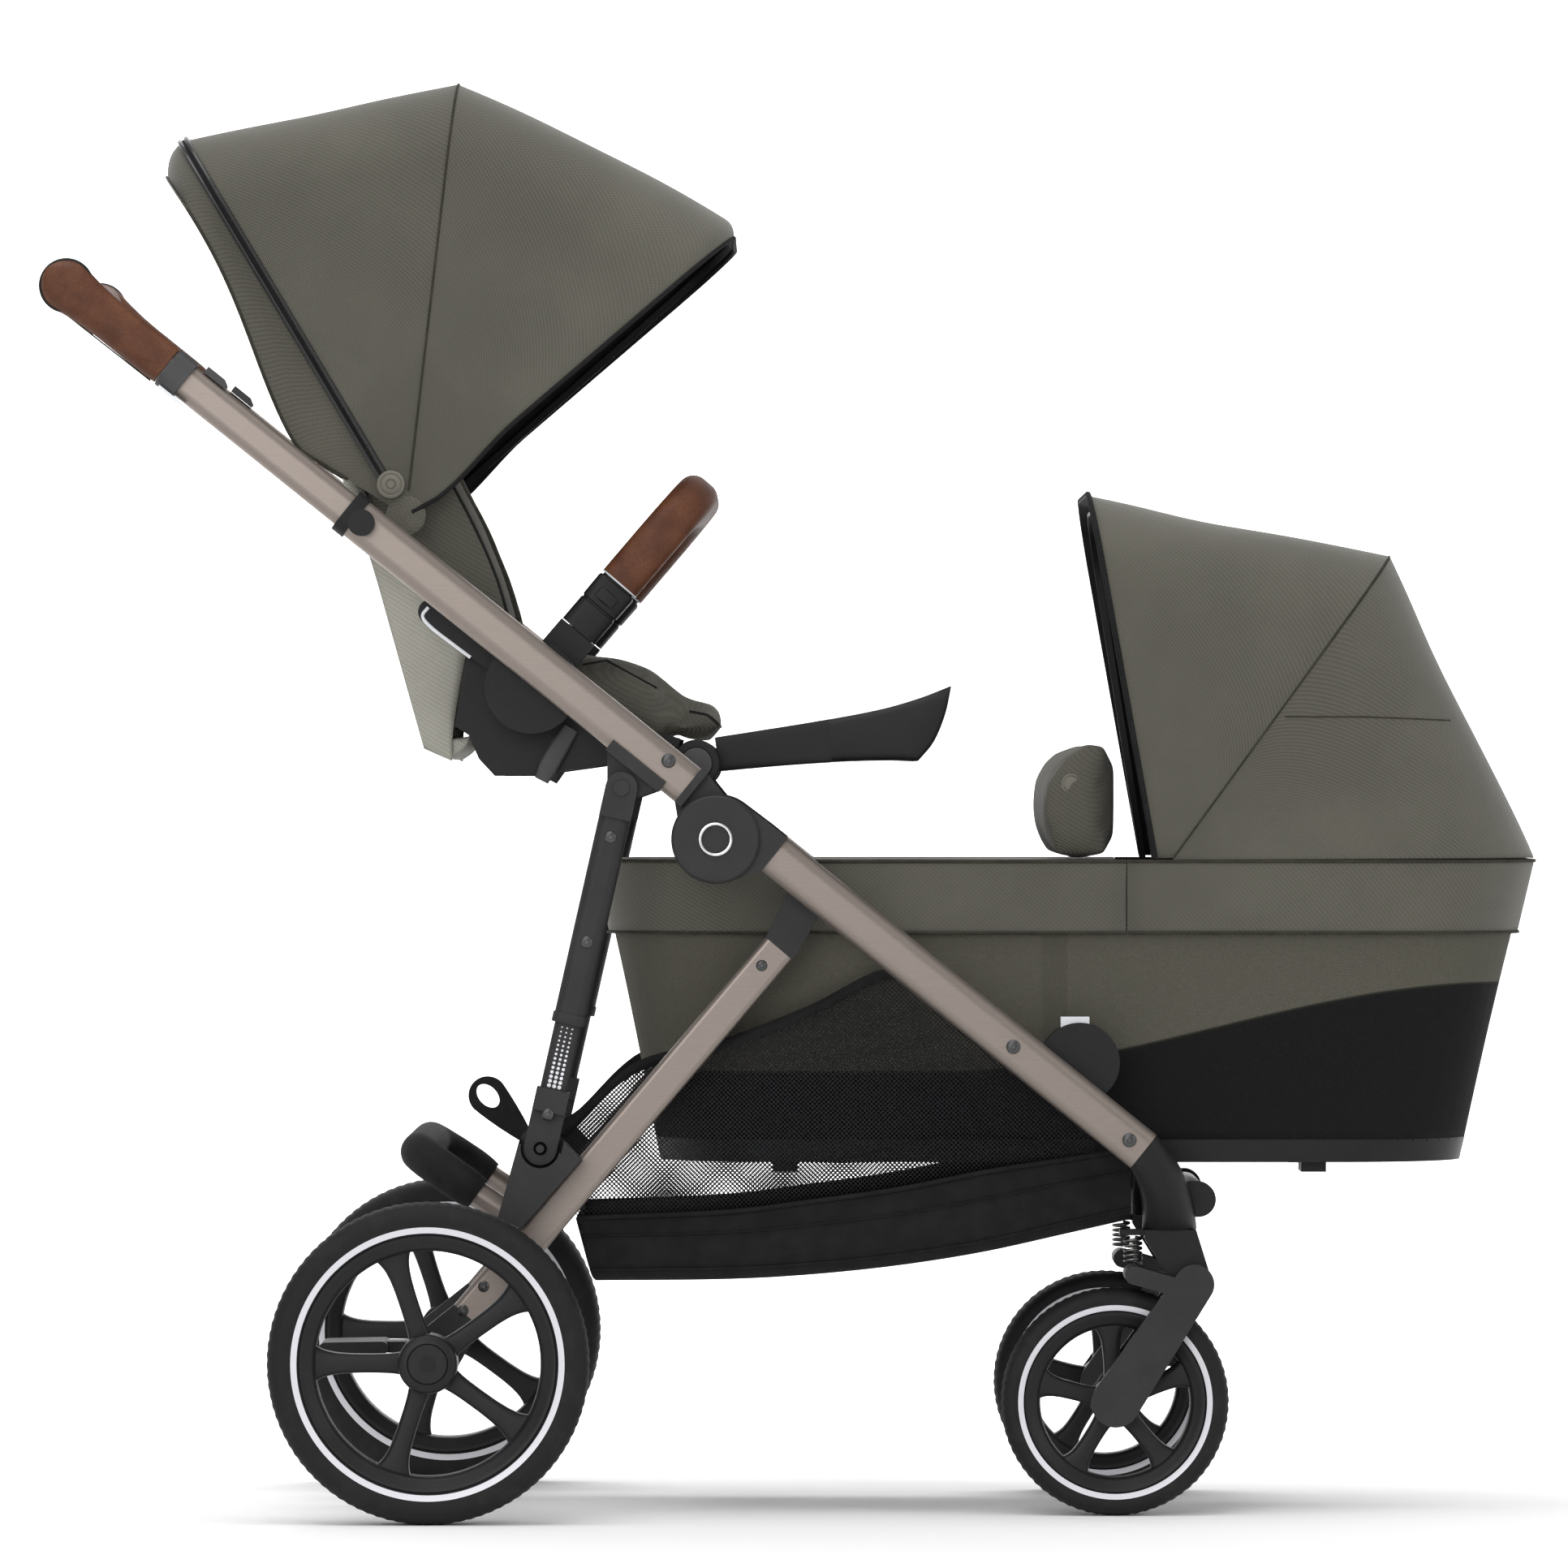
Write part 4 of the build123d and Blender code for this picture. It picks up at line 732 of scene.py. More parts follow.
rear_row = over_bows(CANOPY, REAR_BOW, REAR_EDGE, tucked, CANOPY_HALF + 0.4, COVER_EDGE, 60.0, 0.0, rows=12,
                     bend=rear_edge)[-1]
piping("canopy_rear_binding", rear_row, 1.6, thread, "backrest", "olive_cloth")
PULLER = CANOPY + 30.0 * turned(116.0)
puller_rings = np.array([[0.01, 3.2], [3, 3.4], [4, 2.4], [5, 3.4], [8, 3.4], [9, 2.6], [10.2, 3.4],
                         [12.0, 3.0], [12.5, 1.5],
                         [12.0, 0.0], [0.01, 0.0]])
for side, sign in SIDES:
    ear_profile = np.array([[0.01, 1.6], [12.0, 1.4], [16.5, 0.7], [17.5, -0.4], [16.0, -1.6], [0.01, -1.8]])
    ear = lathe(CANOPY, ear_profile * [1, sign] + [0, sign * CANOPY_HALF], 40)
    carried(Shape(f"canopy_ear_{side}").grid(ear, (True, False)).build(olive), "backrest", "olive_cloth")
    disc_profile = puller_rings * [1, sign] + [0, sign * (CANOPY_HALF + 1.2)]
    puller = Shape(f"zip_puller_{side}").grid(lathe(PULLER, disc_profile, 40),
                                              (True, False)).build(olive_plastic)
    carried(puller, "backrest", "dark_plastic")
print("canopy trim made")

# %% [markdown]
# ## Carrycot
# The carrycot is a tub with rounded ends. Seen from above each end is a U: a straight side, a
# round corner, the end, and back. `end_plan` gives that U for any number of heights at once, so
# the tub, its skirt and its cover are the same formula with other heights and growths.


# %% plan of the tub
def end_plan(start_x, end_x, half, corner, count=14):
    """U-shaped lines in plan, one row for each end_x, half and corner (columns of values)."""
    way = np.sign(end_x - start_x)
    run = np.linspace(0, 1, count)[None, :-1]
    turn = np.linspace(0, math.pi / 2, 12)[None, :]
    span = np.linspace(0, 1, 10)[None, 1:]
    x = np.concatenate([start_x + (end_x - way * corner - start_x) * run,
                        end_x - way * corner * (1 - np.sin(turn)),
                        end_x + 0 * span], 1)
    y = np.concatenate([-half + 0 * run, -half + corner * (1 - np.cos(turn)), (-half + corner) * (1 - span)],
                       1)
    return np.concatenate([x, x[:, -2::-1]], 1), np.concatenate([y, -y[:, -2::-1]], 1)


COT_LOW, COT_TOP = 310.0, 572.0
RIM = COT_TOP + 4.6


def tub(z, value_low, value_top):
    """A size at height z, on the straight line from the underside to the rim."""
    return value_low + (value_top - value_low) * (z - COT_LOW) / (COT_TOP - COT_LOW)


def tub_wall(z, grow, end, start_x):
    """Places of the tub's wall at heights z (a column), grown outwards; end is head or foot."""
    half = tub(z, 165.0, 184.0) + grow
    end_x = tub(z, 592.0, 653.0) + grow if end == "head" else tub(z, -119.0, -173.0) - grow
    x, y = end_plan(start_x + 0 * z, end_x, half, 110.0 + grow)
    return np.stack([x, y, z + 0 * x], -1)


def two_tone(name):
    """Olive above a sweeping line and black below: z = 389 + 78 * smoothstep(x, 130, 610)."""
    paint = Paint(name)
    u, v, _ = paint.axes("UV")
    x, _, z = paint.axes()
    edge = x.step(0.13, 0.61) * 0.078 + 0.389
    share = (z - edge).step(-0.0004, 0.0004)
    turn = 2.0 * math.pi / 0.0021
    ribs = ((u + v) * turn).sin()
    tone = paint.mix((ribs * 0.3 + paint.noise(1400.0) * 0.9 - 0.05).step(-0.1, 0.95), OLIVE_DARK,
                     OLIVE_LIGHT)
    seam = 1.0 - ((z - edge).size()).step(0.0006, 0.0020)
    shade = paint.mix(share, (0.0065, 0.0065, 0.007), tone)
    shade = paint.mix(seam * 0.8, shade, (0.010, 0.010, 0.008))
    paint.set(Base_Color=shade, Roughness=0.86, Specular_IOR_Level=0.15)
    return paint.bump(ribs * 0.4 - seam * 1.5, 0.0005, 0.5).material


tub_cloth = two_tone("tub_cloth")
levels = np.linspace(COT_LOW + 18, COT_TOP, 24)[:, None]
slack = -1.6 * np.sin(math.pi * (levels - levels[0]) / (levels[-1] - levels[0]))
head_wall, foot_wall = tub_wall(levels, slack, "head", 240.0), tub_wall(levels, slack, "foot", 240.0)
ring_wall = np.concatenate([head_wall, foot_wall[:, -2:0:-1]], 1)
cot = Shape("cot_cloth").grid(ring_wall, (False,
                                          True)).build(tub_cloth, lining, solid=False, about=(240, 0, 440))
wall = cot.modifiers.new("wall", "SOLIDIFY")
wall.thickness, wall.offset, wall.material_offset = 5.0 * MM, -1.0, 1
carried(cot, "front_frame", "olive_cloth", "cot_shell")
print("tub wall", ring_wall.shape[:2])

# %% [markdown]
# The cover over the foot end has a skirt that hangs outside the tub, a piped edge, and a top that
# sinks a little towards its middle. The skirt's rows go up, and the top's rows are the same U
# drawn in towards the middle, so it is one sheet.

# %% cover and skirts
HOOD_EDGE = 292.0
skirt_levels = np.linspace(511.0, RIM - 3.0, 14)[:, None]
skirt = tub_wall(skirt_levels, 4.0 - 0.8 * np.sin(np.linspace(0, math.pi, 14))[:, None], "foot",
                 HOOD_EDGE - 0.5)
drawn = np.concatenate([[0.6, 2.0, 5.0, 9.0], np.linspace(16, 187, 18)])[:, None]
x, y = end_plan(HOOD_EDGE - 0.5 + 0 * drawn, -173.9 - 4.0 + drawn, 184.2 + 4.0 - drawn,
                np.maximum(114 - drawn, 0.5))
top_z = RIM - 3.0 + 3.0 * np.clip(drawn / 9, 0,
                                  1) ** 0.5 - 5.0 * np.sin(np.clip((drawn - 9) / 178, 0, 1) * math.pi / 2)
shape = Shape("apron_cloth").grid(np.concatenate([skirt, np.stack([x, y, top_z + 0 * x], -1)]))
cloth_sheet(shape, (200, 0, 400), olive, lining, 1.5, "front_frame",
            ["cot_apron"])
piping("apron_edge", tub_wall(np.array([[RIM - 1.5]]), 4.2, "foot", HOOD_EDGE - 1)[0], 1.7, thread,
       "front_frame", "olive_cloth")
piping("apron_hem", tub_wall(np.array([[512.0]]), 4.6, "foot", HOOD_EDGE - 1)[0], 1.3, thread, "front_frame",
       "olive_cloth")
piping("hood_hem", tub_wall(np.array([[512.0]]), 4.6, "head", HOOD_EDGE + 1)[0], 1.3, thread, "front_frame",
       "olive_cloth")
piping("hood_edge", tub_wall(np.array([[RIM - 1.5]]), 4.2, "head", HOOD_EDGE + 1)[0], 1.5, thread,
       "front_frame", "olive_cloth")

HOOD = flat(PIVOT["cot_hood_fold"])
HOOD_HALF = 188.0
HOOD_FRONT, HOOD_SEAM = 100.4, 54.0
hood_foot = np.array([HOOD[0] + (RIM - HOOD[1]) / math.tan(math.radians(HOOD_SEAM)), RIM])
back_angle = np.array([0.0, 12.0, 25.4, 41.5, 54.0])
back_radius = np.array([325.0, 302.0, 290.0, 302.0, 330.5])
fit = np.polyfit(back_angle, back_radius, 3)
hood_back = over_bows(hood_foot, 0.2, HOOD_SEAM - 0.2, lambda s: np.polyval(fit, 54.0 * s), HOOD_HALF,
                      lambda s: 114.0 - 44.0 * s**0.5, 1.0, dip=0.012)
skirt_head = tub_wall(np.linspace(511.0, RIM - 0.5, 14)[:, None], 4.0, "head", HOOD_EDGE + 0.5)
shape = Shape("hood_rear_cloth").grid(hood_back[::-1]).grid(skirt_head[::-1])
hood_rear = cloth_sheet(shape, (332, 0, 540), olive, lining, 1.5, "front_frame",
                        ["cot_hood_rear"])
hood_grid = over_bows(HOOD, HOOD_SEAM + 0.2, HOOD_FRONT, three(351, 318, 344), HOOD_HALF, 70.0,
                      lambda s: 18.0 / np.sin(np.radians(HOOD_SEAM + (HOOD_FRONT - HOOD_SEAM) * s)), dip=0.02)
cloth_sheet(Shape("hood_front_cloth").grid(hood_grid), (332, 0, 540), olive, lining, 1.5, "cot_hood",
            ["cot_hood_front"],
            ("front_frame", "cot_hood", (0.52, 0, 0.84), (0.27, 0, 0.90)))
piping("hood_bow_line", bow_line(HOOD, HOOD_FRONT - 0.3, 344, HOOD_HALF, 70, 18.5, 0.8), 2.6, black_cloth,
       "cot_hood")
for side, sign in SIDES:
    piping(f"hood_level_seam_{side}", laid_on(hood_rear, [(431, 702), (500, 702), (578, 699)], sign), 0.7,
           thread,
           "front_frame", "olive_cloth")
piping("hood_seam_piping", bow_line(HOOD, HOOD_SEAM, 351, HOOD_HALF, 70, 22.5, 0.3), 0.8, thread,
       "front_frame", "olive_cloth")
print("carrycot cloth made")

# %% [markdown]
# ## Basket
# The basket is a black cloth tray with a net above it, so that what lies in it can be seen. The
# tray is a U carried along the stroller: down one side, round a soft corner, over the floor and up.
# The net is a flat sheet between two curves, and its holes are in the material's alpha.


# %% basket tray
def curve_between(points, count):
    """Smooth line through points: cubic pieces whose slopes follow the neighbours."""
    points = np.array(points, float)
    padded = np.concatenate([[2 * points[0] - points[1]], points, [2 * points[-1] - points[-2]]])
    t = np.linspace(0, len(points) - 1, count)
    i = np.minimum(t.astype(int), len(points) - 2)
    f = (t - i)[:, None]
    a, b, c, d = padded[i], padded[i + 1], padded[i + 2], padded[i + 3]
    return 0.5 * (2 * b + (c - a) * f + (2 * a - 5 * b + 4 * c - d) * f**2 + (3 * b - a - 3 * c + d) * f**3)


BASKET_HALF = high("basket_tray")[1]
FLOOR_CURVE = [(-175, 206), (-64, 207), (12, 211), (90, 219), (166, 231), (243, 248), (296, 260)]
NET_CURVE = [(-190, 262), (-64, 267), (12, 276), (90, 287), (166, 302), (230, 312), (296, 322)]
tray_floor = curve_between(FLOOR_CURVE, 50)
tray_brim = curve_between(NET_CURVE, 50)
turn = np.linspace(0, math.pi / 2, 9)
CORNER = 24.0
down = np.linspace(1, 0, 9)[:-1]
side_y = np.concatenate([0 * down, CORNER * (1 - np.cos(turn)),
                         CORNER + (BASKET_HALF - CORNER) * np.linspace(0, 1, 12)[1:]])
side_up = np.concatenate([CORNER + 0 * down, CORNER * (1 - np.sin(turn)), np.zeros(11)])
share_up = np.concatenate([down, np.zeros(9 + 11)])
tall = (tray_brim[:, 1] - tray_floor[:, 1])[:, None]
z_half = tray_floor[:, 1:2] + side_up[None] + share_up[None] * (tall - CORNER)
z_half = z_half - 4.0 * np.clip(side_y[None] / BASKET_HALF, 0,
                                1) ** 2 * np.sin(np.linspace(0.2, 3.0, 50))[:, None]
x_half = tray_floor[:, 0:1] + (tray_brim[:, 0:1] - tray_floor[:, 0:1]) * np.clip((z_half - tray_floor[:,
                                                                                                      1:2]) / tall, 0, 1)
y_half = -BASKET_HALF + side_y[None] + 1.5 * np.sin(math.pi * share_up)[None] + 0 * z_half
half_tray = np.stack([x_half, y_half, z_half], -1)
tray = np.concatenate([half_tray, side_mirror(half_tray)[:, -2::-1]], 1)
shape = Shape("basket_tray_cloth").grid(tray)
for row in (tray[0], tray[-1]):
    brim = row[[0, -1]]
    rise = np.linspace(0, 1, 12)[:, None, None]
    top = np.stack([np.full(len(row), brim[0][0]), row[:, 1], np.full(len(row), brim[0][2])], -1)
    shape.grid(row[None] * (1 - rise) + top[None] * rise)
cloth_sheet(shape, (50, 0, 330), black_cloth, black_cloth, 2.0, "front_frame",
            ["basket_tray"])
for side, sign in SIDES:
    for name, share, radius in (("brim", 0.0, 2.2), ("upper_seam", 0.26, 0.9), ("lower_seam", 0.74, 0.9)):
        column = int(share * 16)
        line = tray[:, column] + [0, -1.0, 0]
        line = line if sign == RIGHT else side_mirror(line)
        piping(f"tray_{name}_{side}", line, radius, black_cloth, "front_frame")
print("tray rows", tray.shape[:2])

# %% basket net
UNDER_TUBE = -12.0
net_low = curve_between(NET_CURVE[:-1] + [(262, 317)], 60) + [0, 0.4]
net_top_points = [(-232, 330), (-199, 344), (-141, 398), (-64, 419), (12, 448)]
net_top_points += [tuple(on_line(s, UNDER_TUBE)) for s in (192, 250, 310, 425)]
net_top = even(np.insert(curve_between(net_top_points, 90), 1, 0, axis=1), 8.0)
stations = np.linspace(0, len(net_top) - 1, 60)
net_top = np.stack([np.interp(stations, np.arange(len(net_top)), net_top[:, k]) for k in (0, 2)], -1)
height = np.linspace(0, 1, 16)[None, :, None]
net_flat = net_low[:, None] * (1 - height) + net_top[:, None] * height
bulge = BASKET_HALF - 1.5 - 3.0 * np.sin(math.pi * height[...,
                                                          0]) * np.sin(np.linspace(0, math.pi, 60))[:, None]
for side, sign in SIDES:
    net_places = np.stack([net_flat[..., 0], sign * bulge, net_flat[..., 1]], -1)
    net = Shape(f"basket_net_{side}" if side == "left" else "basket_net").grid(net_places).build(mesh_cloth,
                                                                                                 solid=False)
    wall = net.modifiers.new("wall", "SOLIDIFY")
    wall.thickness = 0.6 * MM
    carried(net, "front_frame", "mesh_cloth", *(["basket_mesh"] if side == "right" else []))
    binding = np.stack([net_top[:, 0], np.full(60, sign * (BASKET_HALF - 1.2)), net_top[:, 1]], -1)
    tape = np.stack([binding, binding + [0, 0, -5.0], binding + [0, 0, -10.0]], 1)
    band = Shape(f"net_binding_{side}").grid(tape).build(black_cloth, solid=False)
    wall = band.modifiers.new("wall", "SOLIDIFY")
    wall.thickness, wall.offset = 1.6 * MM, 0.0
    carried(band, "front_frame", "black_cloth")
    low_band = np.stack([net_flat[:, 0], net_flat[:, 3]], 1)
    band_places = np.stack([low_band[..., 0], np.full((60, 2), sign * (BASKET_HALF - 0.9)), low_band[..., 1]],
                           -1)
    band = Shape(f"net_lower_band_{side}").grid(band_places).build(mesh_cloth, solid=False)
    wall = band.modifiers.new("wall", "SOLIDIFY")
    wall.thickness, wall.offset = 0.5 * MM, 0.0
    carried(band, "front_frame", "mesh_cloth")


def eye_tab(count=48):
    """Pull tab with an eye: rings from the eye's edge out to a rounded outline."""
    turn = np.linspace(0, 2 * math.pi, count, endpoint=False)
    out, square = turned(133.0), turned(43.0)
    ahead, beside = np.cos(turn)[:, None], np.sin(turn)[:, None]
    eye = np.array([-269.0, 369.0]) + 12.0 * ahead * out + 8.0 * beside * square
    taper = 17.0 - 8.0 * np.clip(-ahead, 0, 1)
    far = np.array([-269.0, 369.0]) + np.where(ahead > 0, 17.5, 60.0) * ahead * out + taper * beside * square
    return np.stack([eye, far])


tab_flat = eye_tab()
tab_y = -(BASKET_HALF - 5.5)
tab_outer = np.stack([tab_flat[..., 0], np.full(tab_flat.shape[:2], tab_y - 1.6), tab_flat[..., 1]], -1)
tab_inner = tab_outer + [0, 3.2, 0]
pull_tab = Shape("basket_pull_tab").grid(np.concatenate([tab_outer, tab_inner[::-1]]),
                                         (True, True)).build(black_cloth)
carried(pull_tab, "front_frame", "black_cloth")
print("net made")

# %% [markdown]
# ## Grips
# The handle's grips are leatherette, glued round the tube and the crossbar. The crossbar is a
# turned shape: a radius that grows towards both ends and closes in a disc with a thin black rim.

# %% handle grip
BAR = on_line(-745.0)
bar_half = high("handle_grip")[1]
bar_y = np.concatenate([[0.0, 60, 120, 170, 205, 220, 232], bar_half - np.array([15.0, 12.0, 9.2, 7.6, 7.0])])
bar_r = np.array([18.6, 18.6, 18.7, 19.0, 19.8, 21.0, 22.2, 22.6, 22.4, 21.6, 20.0, 18.0])
profile_y = np.concatenate([-bar_y[::-1], bar_y[1:]])
profile_r = np.concatenate([bar_r[::-1], bar_r[1:]])
ends = np.array([[0.01, -bar_half - 0.4]]), np.array([[0.01, bar_half + 0.4]])
bar_profile = np.concatenate([ends[0], np.stack([profile_r, profile_y], -1), ends[1]])
grip = Shape("handle_leather").grid(lathe(BAR, bar_profile, 56), (True, False))
for side, sign in SIDES:
    station = np.concatenate([np.linspace(-633, -735, 26), -745 - 22.4 * np.sin(np.linspace(-0.2, 1.5, 16))])
    tall = 18.4 - 0.8 * np.exp((station + 633) / 4) + 4.1 * np.clip((-station - 690) / 50, 0, 1) ** 2
    tall = np.where(station < -745, 22.5 * np.sqrt(np.clip(1 - ((station + 745) / 22.5) ** 2, 0, 1)), tall)
    broad = 17.0 + 1.0 * np.clip((-station - 700) / 45, 0, 1) - 3.5 * np.clip((-station - 759) / 8, 0, 1) ** 2
    unit = rounded(2.0, 2.0, 0.78, 8)
    centre = LINE_FOOT + station[:, None] * DOWN_LINE
    flat_places = centre[:, None] + (tall[:, None] * unit[None, :, 0])[..., None] * OFF_LINE
    leg_y = sign * FRAME_Y + broad[:, None] * unit[None, :, 1]
    grip.grid(np.stack([flat_places[..., 0], leg_y, flat_places[..., 1]], -1), (False, True), ends=True)
carried(grip.build(brown), "handle", "leather", "handle_grip")
for side, sign in SIDES:
    rim_profile = np.array([[20.4, bar_half - 13.6], [22.8, bar_half - 14.4], [24.1, bar_half - 13.2],
                            [24.1, bar_half - 11.0],
                            [22.8, bar_half - 9.8], [20.6, bar_half - 10.4]]) * [1, sign]
    edge = Shape(f"handle_rim_{side}").grid(lathe(BAR, rim_profile, 56), (True, True)).build(black)
    carried(edge, "handle", "black_plastic")
    seam_path = even(straight(at_y(on_line(-636.0, -18.8), sign * (FRAME_Y + 4)),
                              at_y(on_line(-738.0, -20.0), sign * (FRAME_Y + 4))), 4.0)
    seam = Shape(f"handle_seam_{side}").grid(sweep(seam_path, oval(0.7, 0.5, 8), (0, 1, 0)), (False, True),
                                             ends=True)
    carried(seam.build(thread), "handle", "leather")
print("handle grip made, crossbar half", bar_half.round(1))

# %% bumper bar
FOOT = np.array([-190.0, 777.0])
SLOPE = turned(49.5)
bumper_half = high("seat_frame")[1] - 18.5
top_at = FOOT + (175.0 - 18.5) * SLOPE
corners = [at_y(FOOT + 56 * SLOPE, -bumper_half), at_y(top_at, -bumper_half), at_y(top_at, bumper_half),
           at_y(FOOT + 56 * SLOPE, bumper_half)]
bar_path = even(bar_route(corners, 58.0, 14), 5.0)
plane_up = np.cross([0, 1, 0], at_y(SLOPE, 0))
bumper = Shape("bumper_leather").grid(sweep(bar_path, rounded(37.0, 37.5, 14.0, 10), plane_up), (False, True),
                                      ends=True)
carried(bumper.build(brown), "bumper_bar", "leather", "bumper_bar")
seam_line = sweep(bar_path[2:-2], np.array([[-10.5, -15.8]]), plane_up)[:, 0]
piece = Shape("bumper_seam").grid(sweep(seam_line, oval(0.6, 0.6, 8), plane_up), (False, True),
                                  ends=True).build(thread)
carried(piece, "bumper_bar", "leather")
for side, sign in SIDES:
    housing = Shape(f"bumper_housing_{side}")
    steps = [(0.4, 1.0), (2.5, 1.0), (26.0, 1.0), (26.8, 0.95), (28.2, 0.95), (29.0, 1.02), (50.0, 1.04),
             (52.5, 1.0),
             (53.2, 0.9), (57.0, 0.9)]
    stations = np.array([at_y(FOOT + s * SLOPE, sign * bumper_half) for s, _ in steps])
    section = rounded(36.5, 36.5, 9.0, 8)
    housing.grid(sweep(stations, section, (0, 1, 0), [g for _, g in steps]), (False, True), ends=True)
    button = [(33.0, 0.2), (34.0, 0.9), (44.0, 0.9), (45.0, 0.2)]
    stations = np.array([at_y(FOOT + s * SLOPE, sign * (bumper_half + 18.2)) for s, _ in button])
    housing.grid(sweep(stations, rounded(22.0, 4.0, 1.8, 5), (0, 1, 0), [g for _, g in button]),
                 (False, True), ends=True)
    plug = straight(at_y(FOOT - 22 * SLOPE, sign * bumper_half), at_y(FOOT + 3 * SLOPE, sign * bumper_half),
                    4)
    housing.grid(sweep(plug, rounded(15.6, 15.6, 4.0), (0, 1, 0)), (False, True), ends=True)
    carried(housing.build(black), "bumper_bar", "black_plastic")
    gap = sweep(np.array([at_y(FOOT + s * SLOPE, sign * bumper_half) for s in (55.0, 56.4)]),
                rounded(37.8, 38.2, 14.2, 10), (0, 1, 0))
    carried(Shape(f"grip_ring_{side}").grid(gap, (False, True), ends=True).build(grey_disc), "bumper_bar",
            "black_plastic")
print("bumper bar stations", len(bar_path))

# %% [markdown]
# ## Wheels
# A tyre and a rim are turned shapes. The tyre's radius also ripples round the wheel where it
# meets the ground, which makes the tread. A spoke is a rounded bar whose width flares towards the
# hub and the rim, so five of them flow into the rim as one moulding.


# %% tyres, rims and spokes
def tyre_and_rim(name, centre, middle, radius, bead, half, hub_r, first_spoke, spoke_wide, ring_low,
                 ring_high):
    """Tyre: radius + ripple; rim: closed barrel; spokes: width w(r) = w0 + flare at both ends."""
    crown = np.array([[0, half - 5.5], [0.06, half - 3.2], [0.30, half - 1.0], [0.55, half],
                      [0.75, half - 1.6], [0.90, half - 5.5],
                      [0.97, half - 11], [0.995, half * 0.35], [1.0, 0.0]])
    one_side = np.stack([bead + (radius - bead) * crown[:, 0], crown[:, 1]], -1)
    dense = curve_between(one_side, 26)
    profile = np.concatenate([dense, dense[-2::-1] * [1, -1]]) + [0, middle]
    blocks = 96 if radius > 120 else 72

    def tread(turn, y):
        off = np.abs(y - middle) / half
        return 0.28 * np.tanh(3 * np.sin(blocks * turn + 2.2 * off)) * np.clip(1.25 - off * 1.25, 0,
                                                                               1) ** 0.3 * (
            off < 0.72) - 0.9 * (np.abs(off - 0.36) < 0.05)

    tyre = Shape(f"{name}_tyre").grid(lathe(centre, profile, 480, lambda turn, y: tread(turn, y) * (
        profile[None, :, 0] > radius - 6)), (True, True)).build(tyre_rubber)
    rings = Shape(f"{name}_ring")
    for sign in (RIGHT, LEFT):
        at = lambda r: np.interp(r, dense[:, 0], dense[:, 1])
        span = np.linspace(ring_low, ring_high, 5)
        face = np.stack([span, middle + sign * (at(span) + 0.35)], -1)
        back = np.stack([span[::-1], middle + sign * (at(span[::-1]) - 0.8)], -1)
        rings.grid(lathe(centre, np.concatenate([face, back]), 120), (True, True))
    w = half - 3.5
    barrel = np.array([[bead + 1.2, w - 1.5], [bead - 0.5, w], [bead - 3.5, w - 0.2], [bead - 5.5, w - 2.2],
                       [bead - 9.5, w - 3.0],
                       [bead - 12.5, w - 5.5], [bead - 13.6, w - 10], [bead - 14.0, 0.0]])
    loop = np.concatenate([barrel, barrel[-2::-1] * [1, -1]]) + [0, middle]
    rim = Shape(f"{name}_rim").grid(lathe(centre, loop, 120), (True, True))
    span = np.linspace(hub_r - 6, bead - 11, 26)
    reach = (bead - 11) - (hub_r - 6)
    near, far = (span - span[0]) / reach, (span[-1] - span) / reach
    wide = spoke_wide * (1 + 0.35 * np.exp(-near * 9) + 1.25 * np.exp(-far * 7.5))
    deep = 17.0 + 5.0 * near
    unit = rounded(1.0, 1.0, 0.24, 5)
    for k in range(5):
        along, square = turned(first_spoke + 72 * k), turned(first_spoke + 72 * k + 90)
        flat_places = centre + span[:, None, None] * along + (wide[:, None] * unit[None, :, 0])[...,
                                                                                                None] * square
        y = middle + deep[:, None] * unit[None, :, 1]
        rim.grid(np.stack([flat_places[..., 0], y, flat_places[..., 1]], -1), (False, True), ends=True)
    cap = np.array([[0.01, 21.0], [hub_r - 9.5, 21.0], [hub_r - 8.6, 20.2], [hub_r - 7.8, 21.0],
                    [hub_r - 3.0, 20.4], [hub_r - 0.8, 18.8],
                    [hub_r, 15.5]]) * [1, half / 25 * 1.12 if half > 22 else 0.9]
    hub = np.concatenate([cap, cap[::-1] * [1, -1]]) + [0, middle]
    rim.grid(lathe(centre, hub, 56), (True, False))
    return tyre, rings.build(reflector), rim.build(wheel_plastic)


for side, sign in SIDES:
    rear = flat(PIVOT[f"rear_wheel_spin_{side}"])
    tyre, rings, rim = tyre_and_rim(f"rear_{side}", rear, sign * 295.0, 140.0, 111.5, 25.0, 26.0, 180.0, 16.0,
                                    113.6, 118.9)
    carried(tyre, f"rear_wheel_{side}", "tyre", f"rear_tyre_{side}")
    carried(rings, f"rear_wheel_{side}", "tyre")
    carried(rim, f"rear_wheel_{side}", "wheel", f"rear_rim_{side}")
    front = flat(PIVOT[f"front_wheel_spin_{side}"])
    tyre, rings, rim = tyre_and_rim(f"front_{side}", front, sign * 171.0, 100.0, 79.5, 20.0, 21.0, 166.0,
                                    15.0, 80.6, 85.4)
    carried(tyre, f"front_wheel_{side}", "tyre", f"front_tyre_{side}")
    carried(rings, f"front_wheel_{side}", "tyre")
    carried(rim, f"front_wheel_{side}", "wheel", f"front_rim_{side}")
print("wheels made:", 4)
